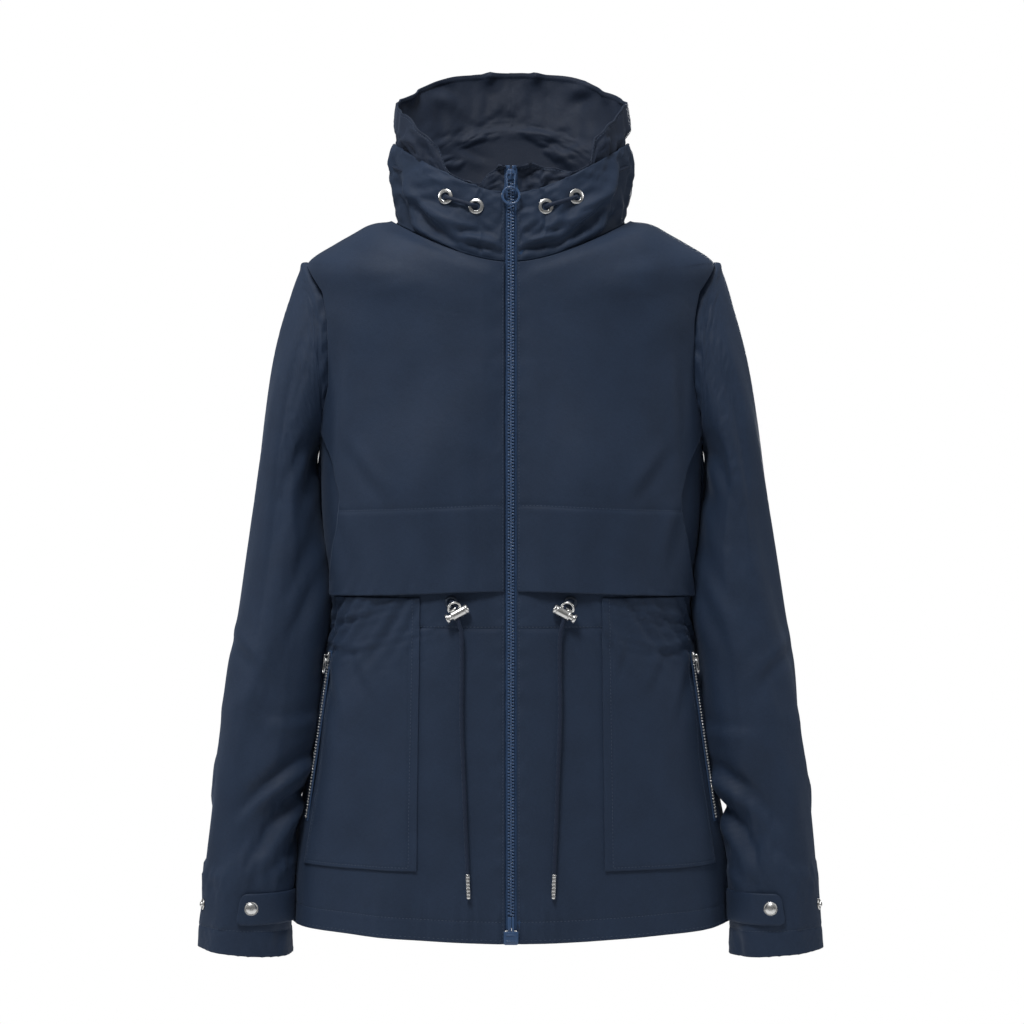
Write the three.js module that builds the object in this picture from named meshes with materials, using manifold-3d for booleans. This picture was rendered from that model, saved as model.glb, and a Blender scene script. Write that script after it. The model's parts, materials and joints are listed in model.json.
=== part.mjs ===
// A foul weather jacket, hanging as it is worn with the zip closed.
// Millimetres. +Z is up, +X the wearer's left, -Y the wearer's front.
// The origin is the centre of the neck opening, level with the base of the neck.
import * as THREE from "three";
import { mergeVertices } from "three/addons/utils/BufferGeometryUtils.js";
import Module from "manifold-3d";

const wasm = await Module();
wasm.setup();

// ---------------------------------------------------------------- driving dimensions

const DEG = Math.PI / 180;
const GAP = 0.4; // between pieces that touch on the real jacket
const CLOTH = 1.2; // shell cloth with its lining
const THIN = 1.0; // single layers

// The closed zip is one straight line down the front: y at the neck base, and y gained per mm of height.
const ZIP_Y = -97.2;
const ZIP_SLOPE = 30 / 730;
const ZIP_TOP = 56;
const ZIP_BOTTOM = -677;

// Body sections from hem to collar rim: height at side, front and back, half width, back depth.
const SECTIONS = [
  [-669, -676, -664, 210, 118],
  [-600, -603, -598, 205.5, 114],
  [-515, -515, -515, 193, 106],
  [-456, -456, -456, 184.5, 98],
  [-386, -386, -386, 175.5, 88],
  [-350, -350, -350, 175.5, 90],
  [-280, -280, -280, 182.5, 98],
  [-215, -215, -215, 184.5, 104],
  [-150, -160, -140, 186, 106],
  [-100, -125, -85, 190, 104],
  [-60, -95, -45, 193, 101],
  [-34, -78, -15, 196, 98],
  [-15, -64, 5, 170, 93],
  [-1, -50, 20, 142, 87],
  [10, -36, 40, 113, 78],
  [40, -5, 75, 117, 84],
  [63, 15, 105, 120, 88],
  [88, 30, 125, 119, 89],
  [128, 53, 172, 112, 90],
];
const ROW = { hem: 0, neck: 14, channel: 16, fold: 17, rim: 18 };
const ROUNDNESS = 2.4; // exponent of the body's oval section
const BUST = { out: 10, x: 80, z: -240, wide: 45, high: 60 };

// Sleeve rings from inside the shoulder to the cuff: outer x, z; inner x, z; centre y; half depth; bow.
const SLEEVE_RINGS = [
  [184, -17, 168, -192, 0, 50, 12],
  [199, -27, 186.5, -203.5, 0, 52, 11],
  [208.5, -37, 188.5, -207, 0, 53.5, 8],
  [219, -72, 190, -213, -1, 56, 4],
  [230, -120, 191, -223, -2, 57, 1.5],
  [239, -172, 191, -238, -3, 57, 0],
  [247, -225, 190.5, -262, -4, 56, 0],
  [257.5, -299, 183, -312, -8, 54, 0],
  [267.5, -368, 177.5, -366, -12, 52, 0],
  [277.5, -421, 185, -419, -16, 50, 0],
  [284.5, -489, 192, -490, -20, 49, 0],
  [291.5, -561, 204.5, -556, -24, 47, 0],
  [298.5, -636, 211.5, -634, -26, 46, 0],
  [302.5, -692, 211.5, -699, -27, 46, 0],
];
// The armhole seam, seen from the front, from the shoulder point to the underarm.
const ARMHOLE = [
  [199, -27],
  [179, -60],
  [174, -90],
  [174, -150],
  [180, -180],
  [187, -205],
];

const SIDE_SEAM = 92 * DEG;
const FRONT_EDGE = 5.2; // half the width of the zip that shows between the fronts
const YOKE = { edge: 9, outer: 4.2, thickness: THIN, hem: -347, hemDrop: 5 };
// The free side edge of the yoke flap, seen from the front, from the underarm to its hem.
const YOKE_SIDE = [
  [182, -190],
  [168, -228],
  [159, -258],
  [166, -300],
  [172, -360],
];
const BACK_YOKE_HEM = -190;
const POCKET = { inner: 89, side: 76.6 * DEG, top: -353, bottom: -609, outer: 1.9 };
const CASING = { edge: 64, low: -382, high: -352, outer: -8.6 };
const STORM_FLAP = { from: -36, to: 26, low: -662, outer: -5.4 };
const FUNNEL_INSET = 7;

const CORD_R = 1.9;
const CHANNEL_DEPTH = 4.1; // of the collar cord's centre
const CASING_DEPTH = 4.6; // of the waist cord's centre
const COLLAR_EYELET = { ring: 7.5, hole: 3.9, barrel: 4.4, seat: 4.8 };
const COLLAR_EYELET_X = [33, 62];
const COLLAR_EYELET_Z = [17, 27];
const WAIST_EYELET = { ring: 6.2, hole: 3.6, barrel: 4.0, seat: 4.4, x: 56, z: -357 };

// ---------------------------------------------------------------- materials

function surface(color, roughness, metalness) {
  return new THREE.MeshStandardMaterial({ color, roughness, metalness });
}
const navyCloth = () => surface(0x2f3a4c, 0.7, 0);
const darkCloth = () => surface(0x252d3a, 0.75, 0);
const tapeCloth = () => surface(0x2a3e54, 0.65, 0);
const bluePlastic = () => surface(0x41556b, 0.35, 0);
const navyCord = () => surface(0x1f2632, 0.8, 0);
const nickel = () => surface(0xc9c9c9, 0.2, 1);

// ---------------------------------------------------------------- solids

// Keeps only positions, welds the vertices and turns the faces outwards.
function closed(geometry) {
  const bare = geometry.clone();
  bare.deleteAttribute("normal");
  bare.deleteAttribute("uv");
  const welded = mergeVertices(bare, 1e-3);
  const p = welded.attributes.position;
  const index = welded.index.array;
  const [a, b, c] = [new THREE.Vector3(), new THREE.Vector3(), new THREE.Vector3()];
  let volume = 0;
  for (let i = 0; i < index.length; i += 3) {
    a.fromBufferAttribute(p, index[i]);
    b.fromBufferAttribute(p, index[i + 1]);
    c.fromBufferAttribute(p, index[i + 2]);
    volume += a.dot(b.cross(c));
  }
  if (volume < 0) {
    for (let i = 0; i < index.length; i += 3) {
      [index[i + 1], index[i + 2]] = [index[i + 2], index[i + 1]];
    }
  }
  return welded;
}

function toManifold(geometry) {
  const solid = closed(geometry);
  const triVerts = new Uint32Array(solid.index.array);
  const vertProperties = solid.attributes.position.array;
  return new wasm.Manifold(new wasm.Mesh({ numProp: 3, vertProperties, triVerts }));
}

function fromManifold(manifold) {
  const mesh = manifold.getMesh();
  const geometry = new THREE.BufferGeometry();
  geometry.setAttribute("position", new THREE.BufferAttribute(mesh.vertProperties, 3));
  geometry.setIndex(new THREE.BufferAttribute(mesh.triVerts, 1));
  return geometry;
}

function join(...geometries) {
  const [first, ...rest] = geometries.map(toManifold);
  return fromManifold(rest.reduce((whole, piece) => whole.add(piece), first));
}

function cut(geometry, ...tools) {
  return fromManifold(tools.map(toManifold).reduce((rest, tool) => rest.subtract(tool), toManifold(geometry)));
}

function warp(geometry, place) {
  const p = geometry.attributes.position;
  const v = new THREE.Vector3();
  for (let i = 0; i < p.count; i++) {
    place(v.fromBufferAttribute(p, i));
    p.setXYZ(i, v.x, v.y, v.z);
  }
  return closed(geometry);
}

const box = (low, high) =>
  new THREE.BoxGeometry(high[0] - low[0], high[1] - low[1], high[2] - low[2]).translate(
    (low[0] + high[0]) / 2,
    (low[1] + high[1]) / 2,
    (low[2] + high[2]) / 2,
  );

// A turned shape: [radius, height] points round the Z axis.
function turned(profile, segments) {
  const points = profile.map(([r, h]) => new THREE.Vector2(r, h));
  return closed(new THREE.LatheGeometry(points, segments).rotateX(Math.PI / 2));
}

// A ring-shaped turned piece: its profile closes on itself.
const turnedRing = (profile, segments) => turned([...profile, profile[0]], segments);

// A round bar from one point to another.
function rod(from, to, radius, sides = 10) {
  const [a, b] = [new THREE.Vector3(...from), new THREE.Vector3(...to)];
  const bar = new THREE.CylinderGeometry(radius, radius, a.distanceTo(b), sides);
  const turn = new THREE.Quaternion().setFromUnitVectors(
    new THREE.Vector3(0, 1, 0),
    b.clone().sub(a).normalize(),
  );
  bar.applyQuaternion(turn);
  const middle = a.add(b).multiplyScalar(0.5);
  return bar.translate(middle.x, middle.y, middle.z);
}

// A curve through chosen points that is stepped evenly between them, so close points give short steps.
class Route extends THREE.CatmullRomCurve3 {
  getUtoTmapping(u) {
    return u;
  }
}

function cord(points, stepsPerPoint, radius = CORD_R) {
  const path = new Route(points, false, "centripetal");
  const section = new THREE.Shape().absarc(0, 0, radius, 0, 2 * Math.PI);
  return closed(
    new THREE.ExtrudeGeometry(section, {
      extrudePath: path,
      steps: (points.length - 1) * stepsPerPoint,
      curveSegments: 4,
    }),
  );
}

function mesh(name, geometry, material) {
  const made = new THREE.Mesh(geometry, material);
  made.name = name;
  return made;
}

// ---------------------------------------------------------------- the body's surface

const lerp = (a, b, t) => a + (b - a) * t;
const clamp01 = (t) => Math.min(1, Math.max(0, t));
const smooth = (t) => clamp01(t) ** 2 * (3 - 2 * clamp01(t));
const zipY = (z) => ZIP_Y + ZIP_SLOPE * z;

// A smooth value between the rows of a table, with straight ends.
function between(table, at) {
  const i = Math.min(Math.max(Math.floor(at), 0), table.length - 2);
  const t = at - i;
  return table[0].map((_, k) => {
    const [b, c] = [table[i][k], table[i + 1][k]];
    const a = i > 0 ? table[i - 1][k] : 2 * b - c;
    const d = i < table.length - 2 ? table[i + 2][k] : 2 * c - b;
    return b + 0.5 * t * (c - a + t * (2 * a - 5 * b + 4 * c - d + t * (3 * (b - c) + d - a)));
  });
}

function bust(x, z) {
  const away = ((Math.abs(x) - BUST.x) / BUST.wide) ** 2 + ((z - BUST.z) / BUST.high) ** 2;
  return BUST.out * Math.exp(-away) * smooth((Math.abs(x) - 12) / 40);
}

// The shell's outer surface, by angle round the body from the zip towards the wearer's left, and by row.
function shellPoint(angle, row) {
  const [side, front, back, halfWidth, backDepth] = between(SECTIONS, row);
  const [s, c] = [Math.sin(angle), Math.cos(angle)];
  const depth = c > 0 ? -zipY(front) : backDepth;
  const n = ROUNDNESS;
  const r = (Math.abs(s / halfWidth) ** n + Math.abs(c / depth) ** n) ** (-1 / n);
  const z = side + ((c > 0 ? front : back) - side) * c * c;
  const y = -r * c - (c > 0 ? bust(r * s, z) : 0);
  return new THREE.Vector3(r * s, y, z);
}

function shellNormal(angle, row) {
  const e = 1e-3;
  const [low, high] = [Math.max(row - e, 0), Math.min(row + e, ROW.rim)];
  const around = shellPoint(angle + e, row).sub(shellPoint(angle - e, row));
  const up = shellPoint(angle, high).sub(shellPoint(angle, low));
  return around.cross(up).normalize();
}

const onShell = (angle, row, offset) =>
  shellPoint(angle, row).addScaledVector(shellNormal(angle, row), offset);

function rowAt(angle, z) {
  let [low, high] = [0, ROW.rim];
  for (let i = 0; i < 24; i++) {
    const middle = (low + high) / 2;
    if (shellPoint(angle, middle).z < z) low = middle;
    else high = middle;
  }
  return (low + high) / 2;
}

// Edges of panels: a line at constant x down the front, a constant angle, a constant height or row.
const frontLine = (x) => (row) => Math.atan2(x, -zipY(between(SECTIONS, row)[1]));
const atAngle = (angle) => () => angle;
const atHeight = (z) => (angle) => rowAt(angle, z);
const atRow = (row) => () => row;

// All panels have their inner columns and rows on these shared lines, so that layers keep their distance.
const COLUMN = 11.25 * DEG;

function sharedLines(edgeA, edgeB, samples, step) {
  const low = Math.max(...samples.map(edgeA));
  const high = Math.min(...samples.map(edgeB));
  const lines = [];
  for (let i = Math.ceil(low / step + 0.2); i <= high / step - 0.2; i++) lines.push(i * step);
  return lines;
}

// The box splits the quads of its outer and inner faces along crossing diagonals, and the walls of a thin
// twisted panel would pass through each other there. This turns the inner ones to match.
const INNER_FACE = 5;

function splitAlike(geometry) {
  const { start, count } = geometry.groups[INNER_FACE];
  const index = geometry.index.array;
  for (let i = start; i < start + count; i += 6) {
    const [a, b, d, , c] = index.slice(i, i + 6);
    index.set([a, b, c, a, c, d], i);
  }
  return geometry;
}

// A panel of the shell: from and to are angles by row, low and high are rows by angle.
function panel({ from, to, low, high, outer, thickness, rowStep = 1 }) {
  const offset = typeof outer === "function" ? outer : () => outer;
  const ends = [from(ROW.neck), (from(ROW.neck) + to(ROW.neck)) / 2, to(ROW.neck)];
  const rowLines = sharedLines(low, high, ends, rowStep);
  const angleLines = sharedLines(from, to, [low(ends[1]), high(ends[1])], COLUMN);
  const [columns, rows] = [angleLines.length + 1, rowLines.length + 1];
  return warp(splitAlike(new THREE.BoxGeometry(1, 1, 1, columns, rows, 1)), (p) => {
    const i = Math.round((p.x + 0.5) * columns);
    const j = Math.round((p.y + 0.5) * rows);
    let [angle, row] = [ends[1], 0];
    for (let pass = 0; pass < 3; pass++) {
      row = rowLines[j - 1] ?? (j === 0 ? low : high)(angle);
      angle = angleLines[i - 1] ?? (i === 0 ? from : to)(row);
    }
    p.copy(onShell(angle, row, offset(row, angle) - (p.z < 0 ? thickness : 0)));
  });
}

// The sides of a pair of mirrored pieces: +1 is the wearer's left.
const SIDES = [
  ["left", 1],
  ["right", -1],
];

// Gives a left piece, or its mirror image for the right.
function mirrored(geometry, side) {
  return side > 0 ? geometry : closed(geometry.clone().scale(-1, 1, 1));
}

// ---------------------------------------------------------------- armholes

// A block along Y whose outline, seen from the front, is given.
function block(outline, depth) {
  const shape = new THREE.Shape(outline.map(([x, z]) => new THREE.Vector2(x, z)));
  const made = new THREE.ExtrudeGeometry(shape, { depth, bevelEnabled: false });
  return closed(made.rotateX(Math.PI / 2).translate(0, depth / 2, 0));
}

const FAR = 400;
const ABOVE = 60;
const bottomOf = (line) => line[line.length - 1][1];

// Everything outside a seam or edge that runs down the side, seen from the front.
function outsideOf(line) {
  return block([[line[0][0], ABOVE], ...line, [FAR, bottomOf(line)], [FAR, ABOVE]], FAR);
}

const armholeCutter = (side) => mirrored(outsideOf(ARMHOLE), side);

// Everything inside it, which the sleeve loses, set out by the gap.
function bodyCutter() {
  const seam = ARMHOLE.map(([x, z]) => [x + GAP, z]);
  const low = bottomOf(ARMHOLE) - GAP;
  const foot = [ARMHOLE[ARMHOLE.length - 1][0] + GAP, low];
  return block([[seam[0][0], ABOVE], ...seam, foot, [0, low], [0, ABOVE]], FAR);
}

// ---------------------------------------------------------------- body cloth

function frontPanel(side) {
  const cloth = panel({
    from: frontLine(FRONT_EDGE),
    to: atAngle(SIDE_SEAM - 0.15 * DEG),
    low: atRow(ROW.hem),
    high: atRow(ROW.neck),
    outer: 0,
    thickness: CLOTH,
  });
  const seat = eyeletSeat(WAIST_EYELET, waistEyeletPlace(1));
  return mirrored(cut(cloth, armholeCutter(1), seat), side);
}

function backPanel() {
  const cloth = panel({
    from: atAngle(SIDE_SEAM + 0.15 * DEG),
    to: atAngle(2 * Math.PI - SIDE_SEAM - 0.15 * DEG),
    low: atRow(ROW.hem),
    high: atRow(ROW.neck),
    outer: 0,
    thickness: CLOTH,
  });
  return cut(cloth, armholeCutter(1), armholeCutter(-1));
}

function yokeFlap(side) {
  const cloth = panel({
    from: frontLine(YOKE.edge),
    to: atAngle(89.7 * DEG),
    low: (angle) => rowAt(angle, YOKE.hem - YOKE.hemDrop * smooth(angle / (80 * DEG))),
    high: atRow(ROW.neck - 0.02),
    outer: YOKE.outer,
    thickness: YOKE.thickness,
  });
  return mirrored(cut(cloth, outsideOf([...ARMHOLE.slice(0, 4), ...YOKE_SIDE])), side);
}

function backYoke() {
  const cloth = panel({
    from: atAngle(90.3 * DEG),
    to: atAngle(269.7 * DEG),
    low: atHeight(BACK_YOKE_HEM),
    high: atRow(ROW.neck - 0.02),
    outer: YOKE.outer,
    thickness: YOKE.thickness,
  });
  return cut(cloth, armholeCutter(1), armholeCutter(-1));
}

function waistCasing() {
  return panel({
    from: frontLine(CASING.edge),
    to: (row) => 2 * Math.PI - frontLine(CASING.edge)(row),
    low: atHeight(CASING.low),
    high: atHeight(CASING.high),
    outer: CASING.outer,
    thickness: THIN,
  });
}

function stormFlap() {
  return panel({
    from: frontLine(STORM_FLAP.from),
    to: frontLine(STORM_FLAP.to),
    low: atHeight(STORM_FLAP.low),
    high: atRow(ROW.neck - 0.2),
    outer: STORM_FLAP.outer,
    thickness: THIN,
  });
}

function patchPocket(side) {
  const cloth = panel({
    from: frontLine(POCKET.inner),
    to: atAngle(POCKET.side),
    low: atHeight(POCKET.bottom),
    high: atHeight(POCKET.top),
    outer: POCKET.outer,
    thickness: THIN,
  });
  return mirrored(cloth, side);
}

// ---------------------------------------------------------------- collar

const roundTheNeck = (x) => ({
  from: frontLine(x),
  to: (row) => 2 * Math.PI - frontLine(x)(row),
});

function collarStand() {
  const cloth = panel({
    ...roundTheNeck(FRONT_EDGE),
    low: atRow(ROW.neck + 0.03),
    high: atRow(ROW.fold),
    outer: 0,
    thickness: THIN,
  });
  const seats = collarEyeletPlaces().map((place) => eyeletSeat(COLLAR_EYELET, place));
  return cut(cloth, ...seats);
}

// The funnel lies inside the drawcord channel, then comes out to the rim at the sides and back.
function funnelOffset(row, angle) {
  const atFold = -3.2;
  const atRim = atFold * Math.max(0, Math.cos(angle)) ** 2;
  const below = lerp(-FUNNEL_INSET, atFold, smooth((row - ROW.channel - 0.35) / 0.6));
  return lerp(below, atRim, smooth(row - ROW.fold));
}

function collarFunnel() {
  return panel({
    ...roundTheNeck(FRONT_EDGE),
    low: atRow(ROW.neck + 0.06),
    high: atRow(ROW.rim),
    outer: funnelOffset,
    thickness: THIN,
    rowStep: 0.5,
  });
}

function hangerLoop() {
  const run = { half: 26, face: 62, foot: 38, footY: 69.1, low: 52, high: 58, thick: 1.2 };
  const shape = new THREE.Shape();
  shape.moveTo(-run.half, run.face);
  shape.lineTo(run.half, run.face);
  shape.quadraticCurveTo(run.foot - 4, run.face, run.foot, run.footY);
  shape.lineTo(run.foot - run.thick, run.footY);
  shape.quadraticCurveTo(run.foot - 5.5, run.face + run.thick, run.half, run.face + run.thick);
  shape.lineTo(-run.half, run.face + run.thick);
  shape.quadraticCurveTo(-run.foot + 5.5, run.face + run.thick, -run.foot + run.thick, run.footY);
  shape.lineTo(-run.foot, run.footY);
  shape.quadraticCurveTo(-run.foot + 4, run.face, -run.half, run.face);
  const depth = run.high - run.low;
  const made = new THREE.ExtrudeGeometry(shape, { depth, bevelEnabled: false, curveSegments: 4 });
  return closed(made.translate(0, 0, run.low));
}

// ---------------------------------------------------------------- eyelets and captured cords

// A frame on the shell: origin at the surface, z outwards, x round the body away from the zip.
function shellFrame(angle, row, offset = 0) {
  const z = shellNormal(angle, row);
  const x = shellPoint(angle + 1e-3, row).sub(shellPoint(angle - 1e-3, row)).normalize();
  x.addScaledVector(z, -x.dot(z)).normalize();
  if (angle < 0) x.negate();
  const y = new THREE.Vector3().crossVectors(z, x);
  return new THREE.Matrix4().makeBasis(x, y, z).setPosition(onShell(angle, row, offset));
}

function placeAt(x, z) {
  let angle = Math.atan2(x, -zipY(z));
  for (let i = 0; i < 6; i++) {
    const point = shellPoint(angle, rowAt(angle, z));
    angle += (x - point.x) / Math.hypot(point.x, point.y);
  }
  return shellFrame(angle, rowAt(angle, z));
}

function collarEyeletPlaces() {
  const places = [];
  for (const [, side] of SIDES) {
    COLLAR_EYELET_X.forEach((x, i) => places.push(placeAt(side * x, COLLAR_EYELET_Z[i])));
  }
  return places;
}

const waistEyeletPlace = (side) => placeAt(side * WAIST_EYELET.x, WAIST_EYELET.z);

const eyeletSeat = ({ seat }, place) =>
  new THREE.CylinderGeometry(seat, seat, 8, 12).rotateX(Math.PI / 2).applyMatrix4(place);

function eyelet({ ring, hole, barrel }) {
  const profile = [
    [hole, -1.5],
    [barrel, -1.5],
    [barrel, 0.4],
    [ring, 0.4],
    [ring - 0.8, 1.4],
    [hole, 1.3],
  ];
  return turnedRing(profile, 12);
}

// Points of a cord passing through an eyelet, from inside the shell to outside, moving along x.
function throughEyelet(place, direction) {
  const steps = [
    [-5.6, -CHANNEL_DEPTH],
    [-2.9, -3.7],
    [-1.0, -1.9],
    [1.0, 1.9],
    [2.8, 3.3],
    [5.4, 3.7],
  ];
  return steps.map(([along, out]) => new THREE.Vector3(along * direction, 0, out).applyMatrix4(place));
}

// The drawcord runs out of each inner eyelet, in at the outer one, and round the neck in its channel.
function collarDrawcord() {
  const [innerLeft, outerLeft, innerRight, outerRight] = collarEyeletPlaces();
  const start = (place) => new THREE.Vector3(-10, 0, -CHANNEL_DEPTH).applyMatrix4(place);
  const channel = [];
  const turns = 28;
  const first = 47 * DEG;
  for (let i = 0; i <= turns; i++) {
    const angle = lerp(first, 2 * Math.PI - first, i / turns);
    channel.push(onShell(angle, ROW.channel + 0.1, -CHANNEL_DEPTH));
  }
  const points = [
    start(innerLeft),
    ...throughEyelet(innerLeft, 1),
    ...throughEyelet(outerLeft, -1).reverse(),
    ...channel,
    ...throughEyelet(outerRight, -1),
    ...throughEyelet(innerRight, 1).reverse(),
    start(innerRight),
  ];
  return cord(points, 1);
}

// The waist cord runs round the back in its casing and out of an eyelet on each side of the zip.
function waistDrawcord() {
  const half = [];
  const turns = 20;
  const out = waistEyeletPlace(1);
  const leave = [
    [8, -CASING_DEPTH],
    [4.3, -4.2],
    [0.9, -2.3],
    [-0.5, 1.3],
  ];
  for (let i = 0; i < turns; i++) {
    const angle = lerp(Math.PI, 38 * DEG, i / (turns - 1));
    const z = lerp(-367, -362, smooth((i - 12) / 7));
    half.push(onShell(angle, rowAt(angle, z), -CASING_DEPTH));
  }
  const end = leave.map(([along, up]) => new THREE.Vector3(along, 0, up).applyMatrix4(out));
  const left = [...half, ...end];
  const right = left.slice(1).map((p) => new THREE.Vector3(-p.x, p.y, p.z));
  return cord([...right.reverse(), ...left], 1);
}

// ---------------------------------------------------------------- sleeves and cuffs

// A sleeve surface point: t counts rings, phi runs from the outer edge round the back to the inner edge.
function sleevePoint(t, phi, inset) {
  const [ox, oz, ix, iz, centreY, halfDepth, bow] = between(SLEEVE_RINGS, t);
  const half = Math.hypot(ox - ix, oz - iz) / 2;
  const reach = ((half - inset) / half) * Math.cos(phi);
  return new THREE.Vector3(
    (ox + ix) / 2 + ((ox - ix) / 2) * reach - bow * Math.sin(phi) ** 2,
    centreY + (halfDepth - inset) * Math.sin(phi),
    (oz + iz) / 2 + ((oz - iz) / 2) * reach,
  );
}

function sleeve(side) {
  const last = SLEEVE_RINGS.length - 1;
  const steps = 16;
  const profile = [];
  for (let i = 0; i <= steps; i++) profile.push(new THREE.Vector2(2, i / steps));
  for (let i = steps; i >= 0; i--) profile.push(new THREE.Vector2(1, i / steps));
  profile.push(profile[0].clone());
  const tube = warp(new THREE.LatheGeometry(profile, 18), (p) => {
    const wall = Math.hypot(p.x, p.z) > 1.5 ? 0 : CLOTH;
    p.copy(sleevePoint(p.y * last, Math.atan2(p.x, p.z), wall));
  });
  return mirrored(cut(tube, bodyCutter()), side);
}

const TAB = { low: -666, high: -636, from: -174 * DEG, to: -88 * DEG, outer: 2.0, thickness: 1.2 };
const SNAP = { x: 249, z: -650 };
const FAR_STUD = { x: 298, z: -650 };

// The ring of the sleeve that passes through height z at angle phi.
function ringAt(phi, z) {
  let [low, high] = [SLEEVE_RINGS.length - 4, SLEEVE_RINGS.length - 1];
  for (let i = 0; i < 24; i++) {
    const middle = (low + high) / 2;
    if (sleevePoint(middle, phi, 0).z > z) low = middle;
    else high = middle;
  }
  return low;
}

function cuffFrame(phi, z, offset) {
  const t = ringAt(phi, z);
  const around = sleevePoint(t, phi + 1e-3, 0).sub(sleevePoint(t, phi - 1e-3, 0));
  const down = sleevePoint(t + 1e-3, phi, 0).sub(sleevePoint(t - 1e-3, phi, 0));
  const normal = around.cross(down).normalize();
  const point = sleevePoint(t, phi, 0);
  if (normal.dot(new THREE.Vector3(point.x - 257, point.y + 26, 0)) < 0) normal.negate();
  const x = new THREE.Vector3(0, 0, 1).cross(normal).normalize();
  const y = new THREE.Vector3().crossVectors(normal, x);
  const origin = point.addScaledVector(normal, offset);
  return new THREE.Matrix4().makeBasis(x, y, normal).setPosition(origin);
}

// The angle on the front half of the cuff whose point lies at x.
const cuffAngle = (x) => -Math.acos((x - 257) / 44);

function cuffTab(side) {
  const cloth = warp(new THREE.BoxGeometry(1, 1, 1, 8, 2, 1), (p) => {
    const [u, v, w] = [p.x + 0.5, p.y + 0.5, p.z + 0.5];
    const slant = 5 * DEG * (1 - v) * u;
    const phi = lerp(TAB.from, TAB.to, u) + slant;
    const z = lerp(TAB.low, TAB.high, v);
    const at = cuffFrame(phi, z, TAB.outer - TAB.thickness * (1 - w));
    p.setFromMatrixPosition(at);
  });
  const rivet = new THREE.CylinderGeometry(2.5, 2.5, 8, 12).rotateX(Math.PI / 2);
  rivet.applyMatrix4(cuffFrame(cuffAngle(SNAP.x), SNAP.z, 0));
  return mirrored(cut(cloth, rivet), side);
}

// Heights in the profile are above the sleeve's surface.
function snapCap(side) {
  const profile = [
    [0, 5.1],
    [3.4, 4.6],
    [5.6, 3.6],
    [6.5, 2.4],
    [2.1, 2.4],
    [2.1, 0.5],
    [1.5, 0.5],
    [1.5, 2.6],
    [0, 2.6],
  ];
  const cap = turned(profile, 16);
  return mirrored(cap.applyMatrix4(cuffFrame(cuffAngle(SNAP.x), SNAP.z, 0)), side);
}

function snapStud(side, x, z, head) {
  const profile = [
    [0, head],
    [1.0, head],
    [1.0, 0.3],
    [0, 0.3],
  ];
  const stud = turned(profile, 12);
  return mirrored(stud.applyMatrix4(cuffFrame(cuffAngle(x), z, 0)), side);
}

function farStud(side) {
  const profile = [
    [0, 2.4],
    [2.2, 2.2],
    [2.4, 1.3],
    [5.2, 1.0],
    [5.4, 0.3],
    [0, 0.3],
  ];
  return mirrored(turned(profile, 14).applyMatrix4(cuffFrame(cuffAngle(FAR_STUD.x), FAR_STUD.z, 0)), side);
}

// ---------------------------------------------------------------- main zip

// In the zip's own frame x is across, y inwards from the fronts' outer face, z up along the zip.
const TOOTH = { near: 1.2, far: 3.1, front: -0.6, back: 1.3 };
const TAPE = { far: 12, front: 1.9, back: 2.6 };
const CHAIN_LOW = -650.5;
const CHAIN_HIGH = 52;
const BOX_TOP = -664.6;
const SLIDER = { low: 42, high: 52, half: 4.2, front: -2.3, back: 4.1 };
const BAR = { y: -3.4, z: 47.5, r: 0.6, half: 3.9 };
const RING = { mean: 7.9, wire: 1.2, y: -5.3, z: 26.3, eyeX: 3.4 };
const RING_HINGE_Z = RING.z + Math.sqrt(RING.mean ** 2 - RING.eyeX ** 2);

const zipTape = (side) =>
  mirrored(box([TOOTH.near, TAPE.front, -664], [TAPE.far, TAPE.back, ZIP_TOP]), side);

const zipTeeth = (side) =>
  mirrored(box([TOOTH.near, TOOTH.front, CHAIN_LOW], [TOOTH.far, TOOTH.back, CHAIN_HIGH]), side);

const zipTopStop = (side) => mirrored(box([1.0, -0.8, CHAIN_HIGH + GAP], [3.6, 1.25, ZIP_TOP - 0.4]), side);

function zipSlider() {
  const { low, high, half, front, back } = SLIDER;
  const lip = (side) =>
    mirrored(box([half - 0.7, front + 0.1, low], [half, TOOTH.back - 0.3, high]), side);
  return join(
    box([-half, front, low], [half, TOOTH.front - GAP, high]),
    box([-half, TAPE.back + GAP, low], [half, back, high]),
    box([-0.8, front + 0.2, high - 2.4], [0.8, back - 0.2, high - 0.2]),
    lip(1),
    lip(-1),
    box([-1.3, -5.2, 44.4], [1.3, -4.5, 50.6]),
    box([-1.3, -5.2, 44.4], [1.3, front + 0.1, 45.2]),
    box([-1.3, -5.2, 49.8], [1.3, front + 0.1, 50.6]),
  );
}

// A small open ring round an axis along X.
function eyeAlongX(x, y, z, inner, outer, length) {
  const h = length / 2;
  const profile = [
    [inner, -h],
    [outer, -h],
    [outer, h],
    [inner, h],
  ];
  return turnedRing(profile, 12).rotateY(Math.PI / 2).translate(x, y, z);
}

function zipPullLink() {
  const parts = [rod([-BAR.half - 0.6, BAR.y, BAR.z], [BAR.half + 0.6, BAR.y, BAR.z], BAR.r)];
  for (const [, side] of SIDES) {
    const top = [side * BAR.half, BAR.y, BAR.z];
    const foot = [side * RING.eyeX, RING.y, RING_HINGE_Z + 2.5];
    parts.push(rod(top, foot, 0.75));
    parts.push(eyeAlongX(side * RING.eyeX, RING.y, RING_HINGE_Z, 2.3, 2.9, 1.5));
  }
  return join(...parts);
}

const zipPullRing = () =>
  closed(
    new THREE.TorusGeometry(RING.mean, RING.wire, 6, 20)
      .rotateX(Math.PI / 2)
      .translate(0, RING.y, RING.z),
  );

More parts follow.
